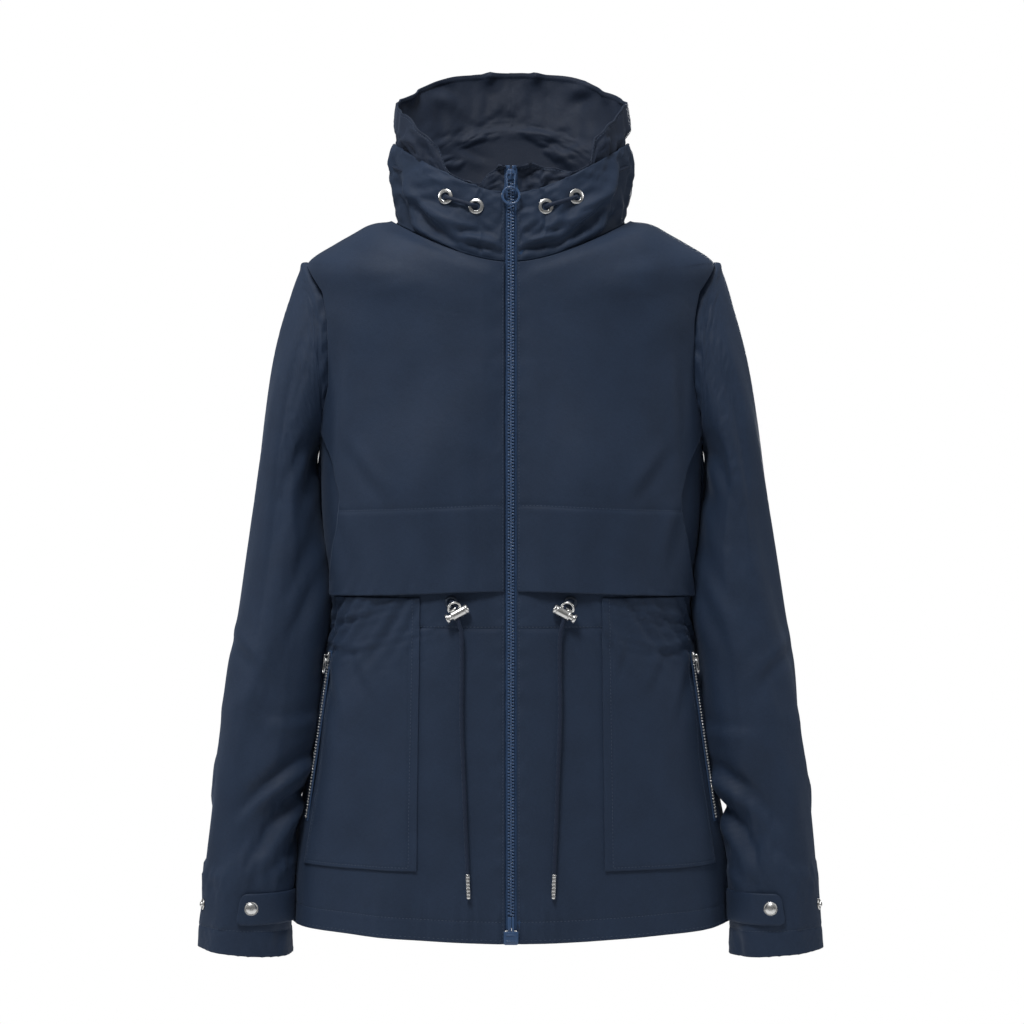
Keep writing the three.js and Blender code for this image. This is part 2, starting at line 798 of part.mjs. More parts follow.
function zipBox() {
  const shell = join(
    box([-6.8, -2, ZIP_BOTTOM], [7, -0.5, BOX_TOP]),
    box([-4.8, -1, ZIP_BOTTOM], [4.8, 3.6, BOX_TOP]),
    box([-TOOTH.far, TOOTH.front, BOX_TOP - 1], [-TOOTH.near, TOOTH.back - 0.2, CHAIN_LOW - GAP]),
  );
  return cut(shell, box([0.8, -1, ZIP_BOTTOM + 1], [3.5, 1.7, BOX_TOP + 1]));
}

const zipPin = () =>
  box([TOOTH.near, TOOTH.front, ZIP_BOTTOM + 1.4], [TOOTH.far, TOOTH.back - 0.2, CHAIN_LOW - GAP]);

function mainZip() {
  const zip = new THREE.Group();
  zip.position.set(0, ZIP_Y, 0);
  zip.rotation.x = -Math.atan(ZIP_SLOPE);
  for (const [name, side] of SIDES) {
    zip.add(mesh(`zip_tape_${name}`, zipTape(side), tapeCloth()));
    zip.add(mesh(`zip_teeth_${name}`, zipTeeth(side), bluePlastic()));
    zip.add(mesh(`zip_top_stop_${name}`, zipTopStop(side), bluePlastic()));
  }
  zip.add(mesh("zip_slider", zipSlider(), bluePlastic()));
  zip.add(mesh("zip_pull_link", zipPullLink(), bluePlastic()));
  zip.add(mesh("zip_pull_ring", zipPullRing(), bluePlastic()));
  zip.add(mesh("zip_box", zipBox(), bluePlastic()));
  zip.add(mesh("zip_pin", zipPin(), bluePlastic()));
  return zip;
}

// ---------------------------------------------------------------- pocket zips

// The pocket zip is straight, between two points near the side of the body.
const POCKET_ZIP = { topAngle: 79 * DEG, topZ: -406, lowAngle: 79.8 * DEG, lowZ: -570 };

function pocketZipFrame() {
  const { topAngle, topZ, lowAngle, lowZ } = POCKET_ZIP;
  const top = shellPoint(topAngle, rowAt(topAngle, topZ));
  const low = shellPoint(lowAngle, rowAt(lowAngle, lowZ));
  const z = top.clone().sub(low).normalize();
  const middle = (topAngle + lowAngle) / 2;
  const out = shellNormal(middle, rowAt(middle, (topZ + lowZ) / 2));
  const x = new THREE.Vector3().crossVectors(out, z).negate().normalize();
  const y = new THREE.Vector3().crossVectors(z, x);
  const frame = new THREE.Matrix4().makeBasis(x, y, z).setPosition(top);
  return { frame, length: top.distanceTo(low) };
}

// In this frame -y is outwards from the cloth and z runs up the zip from its top end.
function pocketZip(side) {
  const { frame, length } = pocketZipFrame();
  const tape = box([-5, -2.1, -length], [5, -1.3, 0]);
  const teeth = box([-2, -3.4, -length + 3], [2, -2, -1]);
  return mirrored(join(tape, teeth).applyMatrix4(frame), side);
}

const POCKET_PULL = { y: -6.0, z: -8, wire: 0.65, halfWidth: 3.2, halfLength: 7.4 };

function pocketZipSlider(side) {
  const lip = (s) => mirrored(box([2.5, -4, -11], [3.5, -2.5, -2]), s);
  const body = join(
    box([-3.5, -4.9, -11], [3.5, -3.8, -2]),
    lip(1),
    lip(-1),
    box([-0.9, -7.6, -10.8], [0.9, -6.95, -4]),
    box([-0.9, -7.6, -10.8], [0.9, -4.8, -10]),
    box([-0.9, -7.6, -4.8], [0.9, -4.8, -4]),
  );
  return mirrored(body.applyMatrix4(pocketZipFrame().frame), side);
}

function pocketZipPull(side) {
  const { y, z, wire, halfWidth, halfLength } = POCKET_PULL;
  const ring = warp(new THREE.TorusGeometry(1, 0.5, 6, 18).rotateX(Math.PI / 2), (p) => {
    const around = new THREE.Vector3(p.x, 0, p.z).normalize();
    const across = Math.hypot(p.x, p.z) - 1;
    const outward = new THREE.Vector3(around.x / halfWidth, 0, around.z / halfLength).normalize();
    const thick = wire / 0.5;
    p.set(
      around.x * halfWidth + outward.x * across * thick,
      y + p.y * thick,
      z - halfLength + around.z * halfLength + outward.z * across * thick,
    );
  });
  return mirrored(ring.applyMatrix4(pocketZipFrame().frame), side);
}

// ---------------------------------------------------------------- waist cord, lock and tip

// The free cord hangs in one straight line through the lock, along the front of the body.
const CORD_TOP = new THREE.Vector3(50.6, -116.4, -360);
const CORD_FOOT = new THREE.Vector3(40.5, -125.6, -610);
const CORD_DOWN = CORD_FOOT.clone().sub(CORD_TOP).normalize();

const LOCK = { z: -367.5, tilt: 28 * DEG, radius: 4.6, bore: 3.6, low: -5.5, high: 11.6, bottom: 9.8 };
const D_LOOP = { radius: 5.9, wire: 1.1, lift: 0.6, lean: 0.3 };
const PLUNGER = { stem: 3.2, knob: 4.7, low: -11.8, neck: -8.6, high: 5.4, travel: 2.7 };

const alongCord = (z) =>
  CORD_TOP.clone().addScaledVector(CORD_DOWN, (z - CORD_TOP.z) / CORD_DOWN.z);

// The lock's frame: z along the barrel towards its closed end, y towards the D-loop, origin on the cord.
function lockFrame() {
  const out = new THREE.Vector3(0, -1, 0);
  const barrel = new THREE.Vector3(-Math.cos(LOCK.tilt), 0, Math.sin(LOCK.tilt));
  const loop = new THREE.Vector3().crossVectors(barrel, out);
  const x = new THREE.Vector3().crossVectors(loop, barrel);
  return new THREE.Matrix4().makeBasis(x, loop, barrel).setPosition(alongCord(LOCK.z));
}

// A hole along the cord, stretched along the barrel by the given amounts.
function cordHole(radius, from, to) {
  const barrel = new THREE.Vector3().setFromMatrixColumn(lockFrame(), 2);
  const middle = alongCord(LOCK.z);
  const hole = (shift) => {
    const centre = middle.clone().addScaledVector(barrel, shift);
    const [a, b] = [-14, 14].map((s) => centre.clone().addScaledVector(CORD_DOWN, s).toArray());
    return rod(a, b, radius, 12);
  };
  if (from === to) return hole(from);
  const holes = [];
  for (let i = 0; i <= 3; i++) holes.push(hole(lerp(from, to, i / 3)));
  return join(...holes);
}

function lockBody(side) {
  const { radius, bore, low, high, bottom } = LOCK;
  const barrel = turned(
    [
      [0, high],
      [radius - 0.6, high],
      [radius, high - 0.6],
      [radius, low + 0.5],
      [radius - 0.5, low],
      [bore, low],
      [bore, bottom],
      [0, bottom],
    ],
    16,
  );
  const base = radius + D_LOOP.lift;
  const foot = rod([0, base, -D_LOOP.radius], [0, base, D_LOOP.radius], D_LOOP.wire, 8);
  const whole = join(barrel, foot, dLoop(base)).applyMatrix4(lockFrame());
  return mirrored(cut(whole, cordHole(2.6, 0, 0)), side);
}

// Half a ring standing on the barrel and leaning outwards.
function dLoop(base) {
  const points = [];
  for (let i = 0; i <= 8; i++) {
    const angle = (i / 8) * Math.PI;
    const [up, along] = [Math.sin(angle), Math.cos(angle)].map((v) => v * D_LOOP.radius);
    points.push(new THREE.Vector3(up * D_LOOP.lean, base + up, along));
  }
  return cord(points, 1, D_LOOP.wire);
}

function lockPlunger(side) {
  const { stem, knob, low, neck, high, travel } = PLUNGER;
  const shape = turned(
    [
      [0, low],
      [knob - 0.7, low],
      [knob, low + 0.7],
      [knob, neck],
      [stem, neck],
      [stem, high],
      [0, high],
    ],
    16,
  );
  return mirrored(cut(shape.applyMatrix4(lockFrame()), cordHole(2.5, -travel, 0)), side);
}

function lockSpring(side) {
  const profile = [
    [1.5, PLUNGER.high + 0.3],
    [2.6, PLUNGER.high + 0.3],
    [2.6, LOCK.bottom - 0.3],
    [1.5, LOCK.bottom - 0.3],
  ];
  return mirrored(turnedRing(profile, 12).applyMatrix4(lockFrame()), side);
}

// From the eyelet's mouth, over and down through the lock to the metal tip.
function waistCord(side) {
  const place = waistEyeletPlace(1);
  const mouth = [
    [-1.05, 1.65],
    [-2.6, 4.0],
  ].map(([along, out]) => new THREE.Vector3(along, 0, out).applyMatrix4(place));
  const straight = [-361.5, -366, -380, -400, -425, -450, -475, -500, -525, -550, -575, -595];
  const points = [...mouth, ...straight.map(alongCord), CORD_FOOT];
  return mirrored(cord(points, 2), side);
}

function cordTip(side) {
  const start = CORD_FOOT.clone().addScaledVector(CORD_DOWN, 0.3);
  const end = CORD_FOOT.clone().addScaledVector(CORD_DOWN, 23.5);
  return mirrored(rod(start.toArray(), end.toArray(), 2.2, 12), side);
}

// ---------------------------------------------------------------- the jacket

const jacket = new THREE.Group();

jacket.add(mesh("back_panel", backPanel(), navyCloth()));
jacket.add(mesh("back_yoke", backYoke(), navyCloth()));
jacket.add(mesh("waist_casing", waistCasing(), darkCloth()));
jacket.add(mesh("storm_flap", stormFlap(), darkCloth()));
jacket.add(mesh("collar_stand", collarStand(), navyCloth()));
jacket.add(mesh("collar_funnel", collarFunnel(), darkCloth()));
jacket.add(mesh("hanger_loop", hangerLoop(), darkCloth()));
jacket.add(mesh("collar_drawcord", collarDrawcord(), navyCord()));
jacket.add(mesh("waist_drawcord", waistDrawcord(), navyCord()));

const EYELET_NAMES = ["left_inner", "left_outer", "right_inner", "right_outer"];
collarEyeletPlaces().forEach((place, i) => {
  const ring = eyelet(COLLAR_EYELET).applyMatrix4(place);
  jacket.add(mesh(`collar_eyelet_${EYELET_NAMES[i]}`, closed(ring), nickel()));
});

for (const [name, side] of SIDES) {
  const add = (part, geometry, material) => jacket.add(mesh(`${part}_${name}`, geometry, material));
  add("front_panel", frontPanel(side), navyCloth());
  add("yoke_flap", yokeFlap(side), navyCloth());
  add("patch_pocket", patchPocket(side), navyCloth());
  add("sleeve", sleeve(side), navyCloth());
  add("cuff_tab", cuffTab(side), navyCloth());
  add("snap_cap", snapCap(side), nickel());
  add("near_stud", snapStud(side, SNAP.x, SNAP.z, 2.0), nickel());
  add("far_stud", farStud(side), nickel());
  add("pocket_zip", pocketZip(side), nickel());
  add("pocket_zip_slider", pocketZipSlider(side), nickel());
  add("pocket_zip_pull", pocketZipPull(side), nickel());
  add("waist_eyelet", mirrored(eyelet(WAIST_EYELET).applyMatrix4(waistEyeletPlace(1)), side), nickel());
  add("cord_lock_body", lockBody(side), nickel());
  add("cord_lock_plunger", lockPlunger(side), nickel());
  add("cord_lock_spring", lockSpring(side), nickel());
  add("waist_cord", waistCord(side), navyCord());
  add("cord_tip", cordTip(side), nickel());
}
jacket.add(mainZip());

export default jacket;
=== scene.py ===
"""A foul weather jacket in navy cloth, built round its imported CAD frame.

Lengths inside this script are millimetres in the part's own frame, and become metres when a mesh is
made. +Z is up, +X the wearer's left, -Y the wearer's front, and the origin is the neck opening.
"""

import json
import math

import bmesh
import bpy
import numpy as np
from mathutils import Matrix, Vector


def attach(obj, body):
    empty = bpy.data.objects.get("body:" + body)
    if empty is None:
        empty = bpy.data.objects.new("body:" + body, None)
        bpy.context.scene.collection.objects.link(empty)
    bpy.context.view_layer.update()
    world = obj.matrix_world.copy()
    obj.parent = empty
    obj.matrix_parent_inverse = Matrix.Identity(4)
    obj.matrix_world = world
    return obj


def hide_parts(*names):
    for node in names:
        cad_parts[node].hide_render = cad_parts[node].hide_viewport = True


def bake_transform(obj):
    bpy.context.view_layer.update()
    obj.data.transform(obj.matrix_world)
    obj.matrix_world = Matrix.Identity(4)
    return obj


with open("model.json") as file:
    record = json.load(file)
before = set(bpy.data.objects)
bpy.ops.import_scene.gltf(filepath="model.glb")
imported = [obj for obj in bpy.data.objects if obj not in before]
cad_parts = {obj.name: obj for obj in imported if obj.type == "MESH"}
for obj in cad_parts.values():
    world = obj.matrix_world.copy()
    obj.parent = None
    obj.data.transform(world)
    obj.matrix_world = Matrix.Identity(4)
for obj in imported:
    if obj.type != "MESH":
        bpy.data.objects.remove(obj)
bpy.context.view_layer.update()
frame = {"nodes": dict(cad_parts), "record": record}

MM = 0.001
DEG = math.pi / 180
SIDES = (("left", 1), ("right", -1))

# ---------------------------------------------------------------- camera

CAMERA_PLACE = (1, -2700, -272)
CAMERA_LENS = 96.9
SENSOR = 36

camera_data = bpy.data.cameras.new("camera")
camera_data.lens = CAMERA_LENS
camera_data.sensor_width = SENSOR
camera = bpy.data.objects.new("camera", camera_data)
camera.location = Vector(CAMERA_PLACE) * MM
camera.rotation_euler = (math.pi / 2, 0, 0)
bpy.context.scene.collection.objects.link(camera)
bpy.context.scene.camera = camera

# ---------------------------------------------------------------- driving dimensions

ZIP_Y = -97.2
ZIP_SLOPE = 30 / 730
ZIP_TOP = 56
ZIP_BOTTOM = -677

# Body sections from hem to collar rim: height at side, front and back, half width, back depth.
SECTIONS = np.array(
    [
        [-669, -676, -664, 210, 118],
        [-600, -603, -598, 205.5, 114],
        [-515, -515, -515, 193, 106],
        [-456, -456, -456, 184.5, 98],
        [-386, -386, -386, 175.5, 88],
        [-350, -350, -350, 175.5, 90],
        [-280, -280, -280, 182.5, 98],
        [-215, -215, -215, 184.5, 104],
        [-150, -160, -140, 186, 106],
        [-100, -125, -85, 190, 104],
        [-60, -95, -45, 193, 101],
        [-34, -78, -15, 196, 98],
        [-15, -64, 5, 170, 93],
        [-1, -50, 20, 142, 87],
        [10, -36, 40, 113, 78],
        [40, -5, 75, 117, 84],
        [63, 15, 105, 120, 88],
        [88, 30, 125, 119, 89],
        [128, 53, 172, 112, 90],
    ],
    float,
)
HEM_ROW, NECK_ROW, CHANNEL_ROW, FOLD_ROW, RIM_ROW = 0, 14, 16, 17, 18
ROUNDNESS = 2.4
BUST_OUT, BUST_X, BUST_Z, BUST_WIDE, BUST_HIGH = 10, 80, -240, 45, 60

# Sleeve rings: outer x, z; inner x, z; centre y; half depth; bow.
SLEEVE_RINGS = np.array(
    [
        [184, -17, 168, -192, 0, 50, 12],
        [199, -27, 186.5, -203.5, 0, 52, 11],
        [208.5, -37, 188.5, -207, 0, 53.5, 8],
        [219, -72, 190, -213, -1, 56, 4],
        [230, -120, 191, -223, -2, 57, 1.5],
        [239, -172, 191, -238, -3, 57, 0],
        [247, -225, 190.5, -262, -4, 56, 0],
        [257.5, -299, 183, -312, -8, 54, 0],
        [267.5, -368, 177.5, -366, -12, 52, 0],
        [277.5, -421, 185, -419, -16, 50, 0],
        [284.5, -489, 192, -490, -20, 49, 0],
        [291.5, -561, 204.5, -556, -24, 47, 0],
        [298.5, -636, 211.5, -634, -26, 46, 0],
        [302.5, -692, 211.5, -699, -27, 46, 0],
    ],
    float,
)
LAST_RING = len(SLEEVE_RINGS) - 1

# Seams seen from the front: the armhole from shoulder to underarm, and the yoke flap's free side edge.
ARMHOLE = [(199, -27), (179, -60), (174, -90), (174, -150), (180, -180), (187, -205)]
YOKE_SIDE = ARMHOLE[:4] + [(182, -190), (168, -228), (159, -258), (166, -300), (172, -360)]

SIDE_SEAM = 92 * DEG
FRONT_EDGE = 5.2
YOKE_OUTER = 4.2
YOKE_HEM, YOKE_HEM_DROP = -347, 5
BACK_YOKE_HEM = -190
POCKET_EDGE, POCKET_SIDE, POCKET_TOP, POCKET_BOTTOM, POCKET_OUTER = 93.0, 75.2 * DEG, -353, -609, 1.9
POCKET_SEAM = 3.0
CASING_EDGE, CASING_LOW, CASING_HIGH, CASING_OUTER = 64, -382, -352, -8.6
STORM_FROM, STORM_TO, STORM_OUTER = -36, 26, -5.4
FUNNEL_INSET, FUNNEL_FOLD = 7, 3.2
CORD_R = 1.9
CHANNEL_DEPTH = 4.1
CASING_DEPTH = 4.6
SEAM_GAP = 0.02
COLLAR_EYELETS = ((33, 17), (62, 27))
WAIST_EYELET = (56, -357)
CLOTH = 1.0

# ---------------------------------------------------------------- numbers


def smooth(t):
    t = np.clip(t, 0, 1)
    return t * t * (3 - 2 * t)


def bell(t):
    return np.exp(-t * t)


def between(table, at):
    """Smooth values between the rows of a table, with straight ends."""
    at = np.asarray(at, float)
    last = len(table) - 2
    i = np.clip(np.floor(at).astype(int), 0, last)
    t = (at - i)[..., None]
    b, c = table[i], table[i + 1]
    a = np.where((i > 0)[..., None], table[np.maximum(i - 1, 0)], 2 * b - c)
    d = np.where((i < last)[..., None], table[np.minimum(i + 2, last + 1)], 2 * c - b)
    return b + 0.5 * t * (c - a + t * (2 * a - 5 * b + 4 * c - d + t * (3 * (b - c) + d - a)))


def nearest(values, place):
    """The number of the value nearest to a place."""
    return np.abs(values - place).argmin()


def unit(v):
    return v / np.maximum(np.linalg.norm(v, axis=-1, keepdims=True), 1e-9)


def arc_length(line):
    steps = np.linalg.norm(np.diff(line, axis=0), axis=1)
    return np.concatenate([[0], np.cumsum(steps)])


def resampled(line, step):
    """A line again with evenly spaced points."""
    along = arc_length(line)
    at = np.linspace(0, along[-1], max(2, round(along[-1] / step) + 1))
    return np.stack([np.interp(at, along, line[:, k]) for k in range(3)], axis=1)


def waves(at, seed, counts):
    """An uneven ripple along at, about 1 high, made of a few fixed waves."""
    r = np.random.default_rng(seed)
    parts = [np.cos(n * at + r.uniform(0, 2 * math.pi)) * r.uniform(0.6, 1) for n in counts]
    return sum(parts) / math.sqrt(len(counts))


# ---------------------------------------------------------------- forms and meshes


class Form:
    """Points in millimetres with the quads and triangles between them, and cloth coordinates if any."""

    def __init__(self, points, quads=(), tris=(), uv=None):
        self.points = np.asarray(points, float).reshape(-1, 3)
        self.quads = np.asarray(quads, int).reshape(-1, 4)
        self.tris = np.asarray(tris, int).reshape(-1, 3)
        self.uv = uv

    def placed(self, matrix):
        m = np.array(matrix, float)
        points = self.points @ m[:3, :3].T + m[:3, 3]
        return Form(points, self.quads, self.tris, self.uv)

    def on_side(self, side):
        """Itself for the wearer's left, its mirror image for the right."""
        if side > 0:
            return self
        return Form(self.points * (-1, 1, 1), self.quads[:, ::-1], self.tris[:, ::-1], self.uv)


def joined(forms):
    forms = list(forms)
    starts = np.cumsum([0] + [len(f.points) for f in forms])
    return Form(
        np.concatenate([f.points for f in forms]),
        np.concatenate([f.quads + s for f, s in zip(forms, starts)]),
        np.concatenate([f.tris + s for f, s in zip(forms, starts)]),
    )


def mesh_object(name, form, material):
    """A smooth-shaded mesh in the scene, in metres."""
    corners = np.concatenate([form.quads.ravel(), form.tris.ravel()]).astype(np.int32)
    sizes = np.concatenate([np.full(len(form.quads), 4), np.full(len(form.tris), 3)])
    starts = np.concatenate([[0], np.cumsum(sizes)[:-1]]).astype(np.int32)
    data = bpy.data.meshes.new(name)
    data.vertices.add(len(form.points))
    data.vertices.foreach_set("co", (form.points * MM).astype(np.float32).ravel())
    data.loops.add(len(corners))
    data.loops.foreach_set("vertex_index", corners)
    data.polygons.add(len(sizes))
    data.polygons.foreach_set("loop_start", starts)
    data.polygons.foreach_set("use_smooth", np.full(len(sizes), True))
    data.update(calc_edges=True)
    if form.uv is not None:
        layer = data.uv_layers.new(name="cloth")
        layer.data.foreach_set("uv", form.uv[corners].astype(np.float32).ravel())
    made = bpy.data.objects.new(name, data)
    bpy.context.scene.collection.objects.link(made)
    if material is not None:
        data.materials.append(material)
    return made


def grid_quads(nu, nv, wrap_u=False, wrap_v=False):
    """Quads of a grid of nu by nv points, wrapped round where asked."""
    index = np.arange(nu * nv).reshape(nu, nv)
    if wrap_u:
        index = np.concatenate([index, index[:1]])
    if wrap_v:
        index = np.concatenate([index, index[:, :1]], axis=1)
    return np.stack([index[:-1, :-1], index[1:, :-1], index[1:, 1:], index[:-1, 1:]], -1).reshape(-1, 4)


def grid_normals(points, wrap_u=False):
    if wrap_u:
        across = np.roll(points, -1, axis=0) - np.roll(points, 1, axis=0)
    else:
        across = np.gradient(points, axis=0)
    return unit(np.cross(across, np.gradient(points, axis=1)))


def fan(ring, centre, flip):
    """Triangles from a ring of point numbers to one point."""
    a, b = np.asarray(ring), np.roll(ring, -1)
    c = np.full(len(a), centre)
    return np.stack([b, a, c] if flip else [a, b, c], -1)


def lathe(profile, sides=48):
    """A turned shape round Z. A profile that starts off the axis closes on itself."""
    profile = np.asarray(profile, float)
    ring_shaped = profile[0, 0] > 0
    turn = np.arange(sides) * 2 * math.pi / sides
    body = profile if ring_shaped else profile[1:-1]
    points = np.stack(
        [
            body[None, :, 0] * np.cos(turn)[:, None],
            body[None, :, 0] * np.sin(turn)[:, None],
            np.broadcast_to(body[None, :, 1], (sides, len(body))),
        ],
        -1,
    ).reshape(-1, 3)
    quads = grid_quads(sides, len(body), wrap_u=True, wrap_v=ring_shaped)
    if ring_shaped:
        return Form(points, quads)
    index = np.arange(sides * len(body)).reshape(sides, len(body))
    ends = [[0, 0, profile[0, 1]], [0, 0, profile[-1, 1]]]
    tris = [fan(index[:, 0], len(points), True), fan(index[:, -1], len(points) + 1, False)]
    return Form(np.concatenate([points, ends]), quads, np.concatenate(tris))


def rounded(profile, radius, steps=3, closed=False):
    """A turned profile with its corners rounded."""
    profile = [np.array(p, float) for p in profile]
    count = len(profile)
    out = []
    for i, p in enumerate(profile):
        if not closed and i in (0, count - 1):
            out.append(p)
            continue
        a, b = profile[i - 1] - p, profile[(i + 1) % count] - p
        r = min(radius, 0.45 * np.linalg.norm(a), 0.45 * np.linalg.norm(b))
        start, end = p + unit(a) * r, p + unit(b) * r
        for k in range(steps + 1):
            t = k / steps
            out.append((1 - t) ** 2 * start + 2 * t * (1 - t) * p + t * t * end)
    return np.array(out)


def tube_frames(path):
    """Two directions across a path at each point, carried along it without twisting."""
    forward = unit(np.gradient(path, axis=0))
    side = np.cross(forward[0], (0.3, 0.1, 0.95))
    first = np.zeros_like(path)
    for i, f in enumerate(forward):
        side = unit(side - f * (side @ f))
        first[i] = side
    return first, np.cross(forward, first)


def tube(path, radius, sides=12, closed=False):
    """A round bar along a path; radius may differ by point and by the place round it."""
    path = np.asarray(path, float)
    turn = np.arange(sides) * 2 * math.pi / sides
    if closed:
        wide = np.concatenate([path[-2:], path, path[:2]])
        first, second = (v[2:-2] for v in tube_frames(wide))
    else:
        first, second = tube_frames(path)
    if np.ndim(radius) < 2:
        radius = np.broadcast_to(np.reshape(radius, (-1, 1)), (len(path), 1))
    out = first[:, None] * np.cos(turn)[None, :, None] + second[:, None] * np.sin(turn)[None, :, None]
    points = (path[:, None] + out * radius[..., None]).reshape(-1, 3)
    index = np.arange(len(points)).reshape(len(path), sides)
    quads = grid_quads(sides, len(path), wrap_u=True, wrap_v=closed)
    quads = index.T.ravel()[quads]
    if closed:
        return Form(points, quads)
    tris = [fan(index[0], len(points), True), fan(index[-1], len(points) + 1, False)]
    along = np.repeat(arc_length(path), sides)
    uv = np.stack([np.tile(turn * np.mean(radius), len(path)), along], -1) * MM
    ends = [(0, 0), (0, along[-1] * MM)]
    return Form(np.concatenate([points, path[:1], path[-1:]]), quads, np.concatenate(tris),
                np.concatenate([uv, ends]))


def ring_path(radius, centre, steps=48):
    turn = np.arange(steps) * 2 * math.pi / steps
    points = np.stack([radius * np.cos(turn), 0 * turn, radius * np.sin(turn)], -1)
    return points + np.asarray(centre, float)


def from_bmesh(bm):
    bm.verts.index_update()
    bmesh.ops.triangulate(bm, faces=[f for f in bm.faces if len(f.verts) > 4])
    points = [v.co[:] for v in bm.verts]
    quads = [[v.index for v in f.verts] for f in bm.faces if len(f.verts) == 4]
    tris = [[v.index for v in f.verts] for f in bm.faces if len(f.verts) == 3]
    bm.free()
    return Form(points, quads, tris)


def slab(outline, low, high, bevel=0.3, steps=2):
    """A bevelled plate: an outline of (x, z) points, from low to high in y."""
    bm = bmesh.new()
    bottom = [bm.verts.new((x, high, z)) for x, z in outline]
    bm.faces.new(bottom)
    made = bmesh.ops.extrude_face_region(bm, geom=bm.faces[:])
    top = [v for v in made["geom"] if isinstance(v, bmesh.types.BMVert)]
    bmesh.ops.translate(bm, verts=top, vec=(0, low - high, 0))
    bmesh.ops.recalc_face_normals(bm, faces=bm.faces[:])
    bmesh.ops.bevel(bm, geom=bm.edges[:], offset=bevel, segments=steps, profile=0.5, affect="EDGES")
    return from_bmesh(bm)


def block(low, high, bevel=0.2, steps=2):
    (x0, y0, z0), (x1, y1, z1) = low, high
    return slab([(x0, z0), (x1, z0), (x1, z1), (x0, z1)], y0, y1, bevel, steps)


# ---------------------------------------------------------------- the body's surface


def zip_y(z):
    return ZIP_Y + ZIP_SLOPE * z


def bust(x, z):
    away = ((np.abs(x) - BUST_X) / BUST_WIDE) ** 2 + ((z - BUST_Z) / BUST_HIGH) ** 2
    return BUST_OUT * np.exp(-away) * smooth((np.abs(x) - 12) / 40)


def shell_point(angle, row):
    """The shell's outer surface, by angle round from the zip to the wearer's left, and by row."""
    side, front, back, half_width, back_depth = np.moveaxis(between(SECTIONS, row), -1, 0)
    s, c = np.sin(angle), np.cos(angle)
    depth = np.where(c > 0, -zip_y(front), back_depth)
    r = (np.abs(s / half_width) ** ROUNDNESS + np.abs(c / depth) ** ROUNDNESS) ** (-1 / ROUNDNESS)
    z = side + (np.where(c > 0, front, back) - side) * c * c
    y = -r * c - np.where(c > 0, bust(r * s, z), 0)
    return np.stack([r * s, y, z], -1)


def shell_normal(angle, row):
    e = 1e-3
    low, high = np.maximum(row - e, 0), np.minimum(row + e, RIM_ROW)
    around = shell_point(angle + e, row) - shell_point(angle - e, row)
    return unit(np.cross(around, shell_point(angle, high) - shell_point(angle, low)))


def on_shell(angle, row, offset):
    return shell_point(angle, row) + shell_normal(angle, row) * np.asarray(offset)[..., None]


def row_at(angle, z):
    angle, z = np.broadcast_arrays(np.asarray(angle, float), z)
    low, high = np.zeros(angle.shape), np.full(angle.shape, float(RIM_ROW))
    for _ in range(22):
        middle = (low + high) / 2
        below = shell_point(angle, middle)[..., 2] < z
        low, high = np.where(below, middle, low), np.where(below, high, middle)
    return (low + high) / 2


def angle_of(x, row):
    """The angle of a line at constant x down the front."""
    return np.arctan2(x, -zip_y(between(SECTIONS, row)[..., 1]))


def line_x(line, z):
    xs, zs = np.array(line[::-1], float).T
    return np.interp(z, zs, xs)


def trimmed(line, kept, limit):
    """The angle at each row where a panel ends: its limit, or a seam drawn on the front view before it."""
    rows = np.linspace(0, NECK_ROW, 281)
    low, high = np.full(rows.shape, float(kept)), np.full(rows.shape, float(limit))
    ends = shell_point(high, rows)
    is_cut = (ends[:, 0] > line_x(line, ends[:, 2])) & (ends[:, 2] > line[-1][1])
    for _ in range(30):
        middle = (low + high) / 2
        p = shell_point(middle, rows)
        outside = p[:, 0] > line_x(line, p[:, 2])
        low, high = np.where(outside, low, middle), np.where(outside, middle, high)
    table = np.where(is_cut, low, limit)
    return lambda row: np.interp(row, rows, table)


ROW_STEPS = np.linspace(0, RIM_ROW, 1801)
ROW_LENGTH = arc_length(shell_point(np.full(ROW_STEPS.shape, 50 * DEG), ROW_STEPS))


def lines(low, high, step, fine=()):
    """Places from low to high about a step apart, with close ones at each end and round each fine place."""
    close = np.array([-2.2, -1.1, 0, 1.1, 2.2])
    places = list(np.linspace(low, high, max(2, round((high - low) / step) + 1)))
    for f in [low, high, *fine]:
        places = [p for p in places if abs(p - f) > 2.9]
        places += [p for p in f + close if low <= p <= high]
    places = sorted(places)
    return np.array([places[0]] + [b for a, b in zip(places, places[1:]) if b - a > 0.4])


def row_lines(low, high, step, fine=()):
    """Row numbers about a step apart in mm; fine holds row numbers."""
    to_mm = lambda row: np.interp(row, ROW_STEPS, ROW_LENGTH)
    at = lines(to_mm(low), to_mm(high), step, [to_mm(f) for f in fine])
    return np.interp(at, ROW_LENGTH, ROW_STEPS)


class Layout:
    """The angles and rows of a panel's grid, and its points on the shell."""

    def __init__(self, columns, rows, middle_row):
        angle = columns(np.full((1, 1), float(middle_row)))
        for _ in range(4):
            row = rows(angle)
            angle = columns(row)
        self.angle, self.row = np.broadcast_arrays(angle, row)
        self.base = shell_point(self.angle, self.row)
        self.x, self.z = self.base[..., 0], self.base[..., 2]
        self.normal = shell_normal(self.angle, self.row)

    def lifted(self, offset):
        return self.base + self.normal * np.asarray(offset)[..., None]


def straight_rows(values):
    """Rows that follow the body sections."""
    return lambda angle: np.broadcast_to(values[None, :], (len(angle), len(values)))


def widened(angle, count):
    """Angles with a column for each row, given once or already so."""
    return angle if angle.shape[1] > 1 else angle + np.zeros((1, count))


def level_rows(heights):
    """Rows at constant heights."""
    return lambda angle: row_at(widened(angle, len(heights)), heights[None, :])


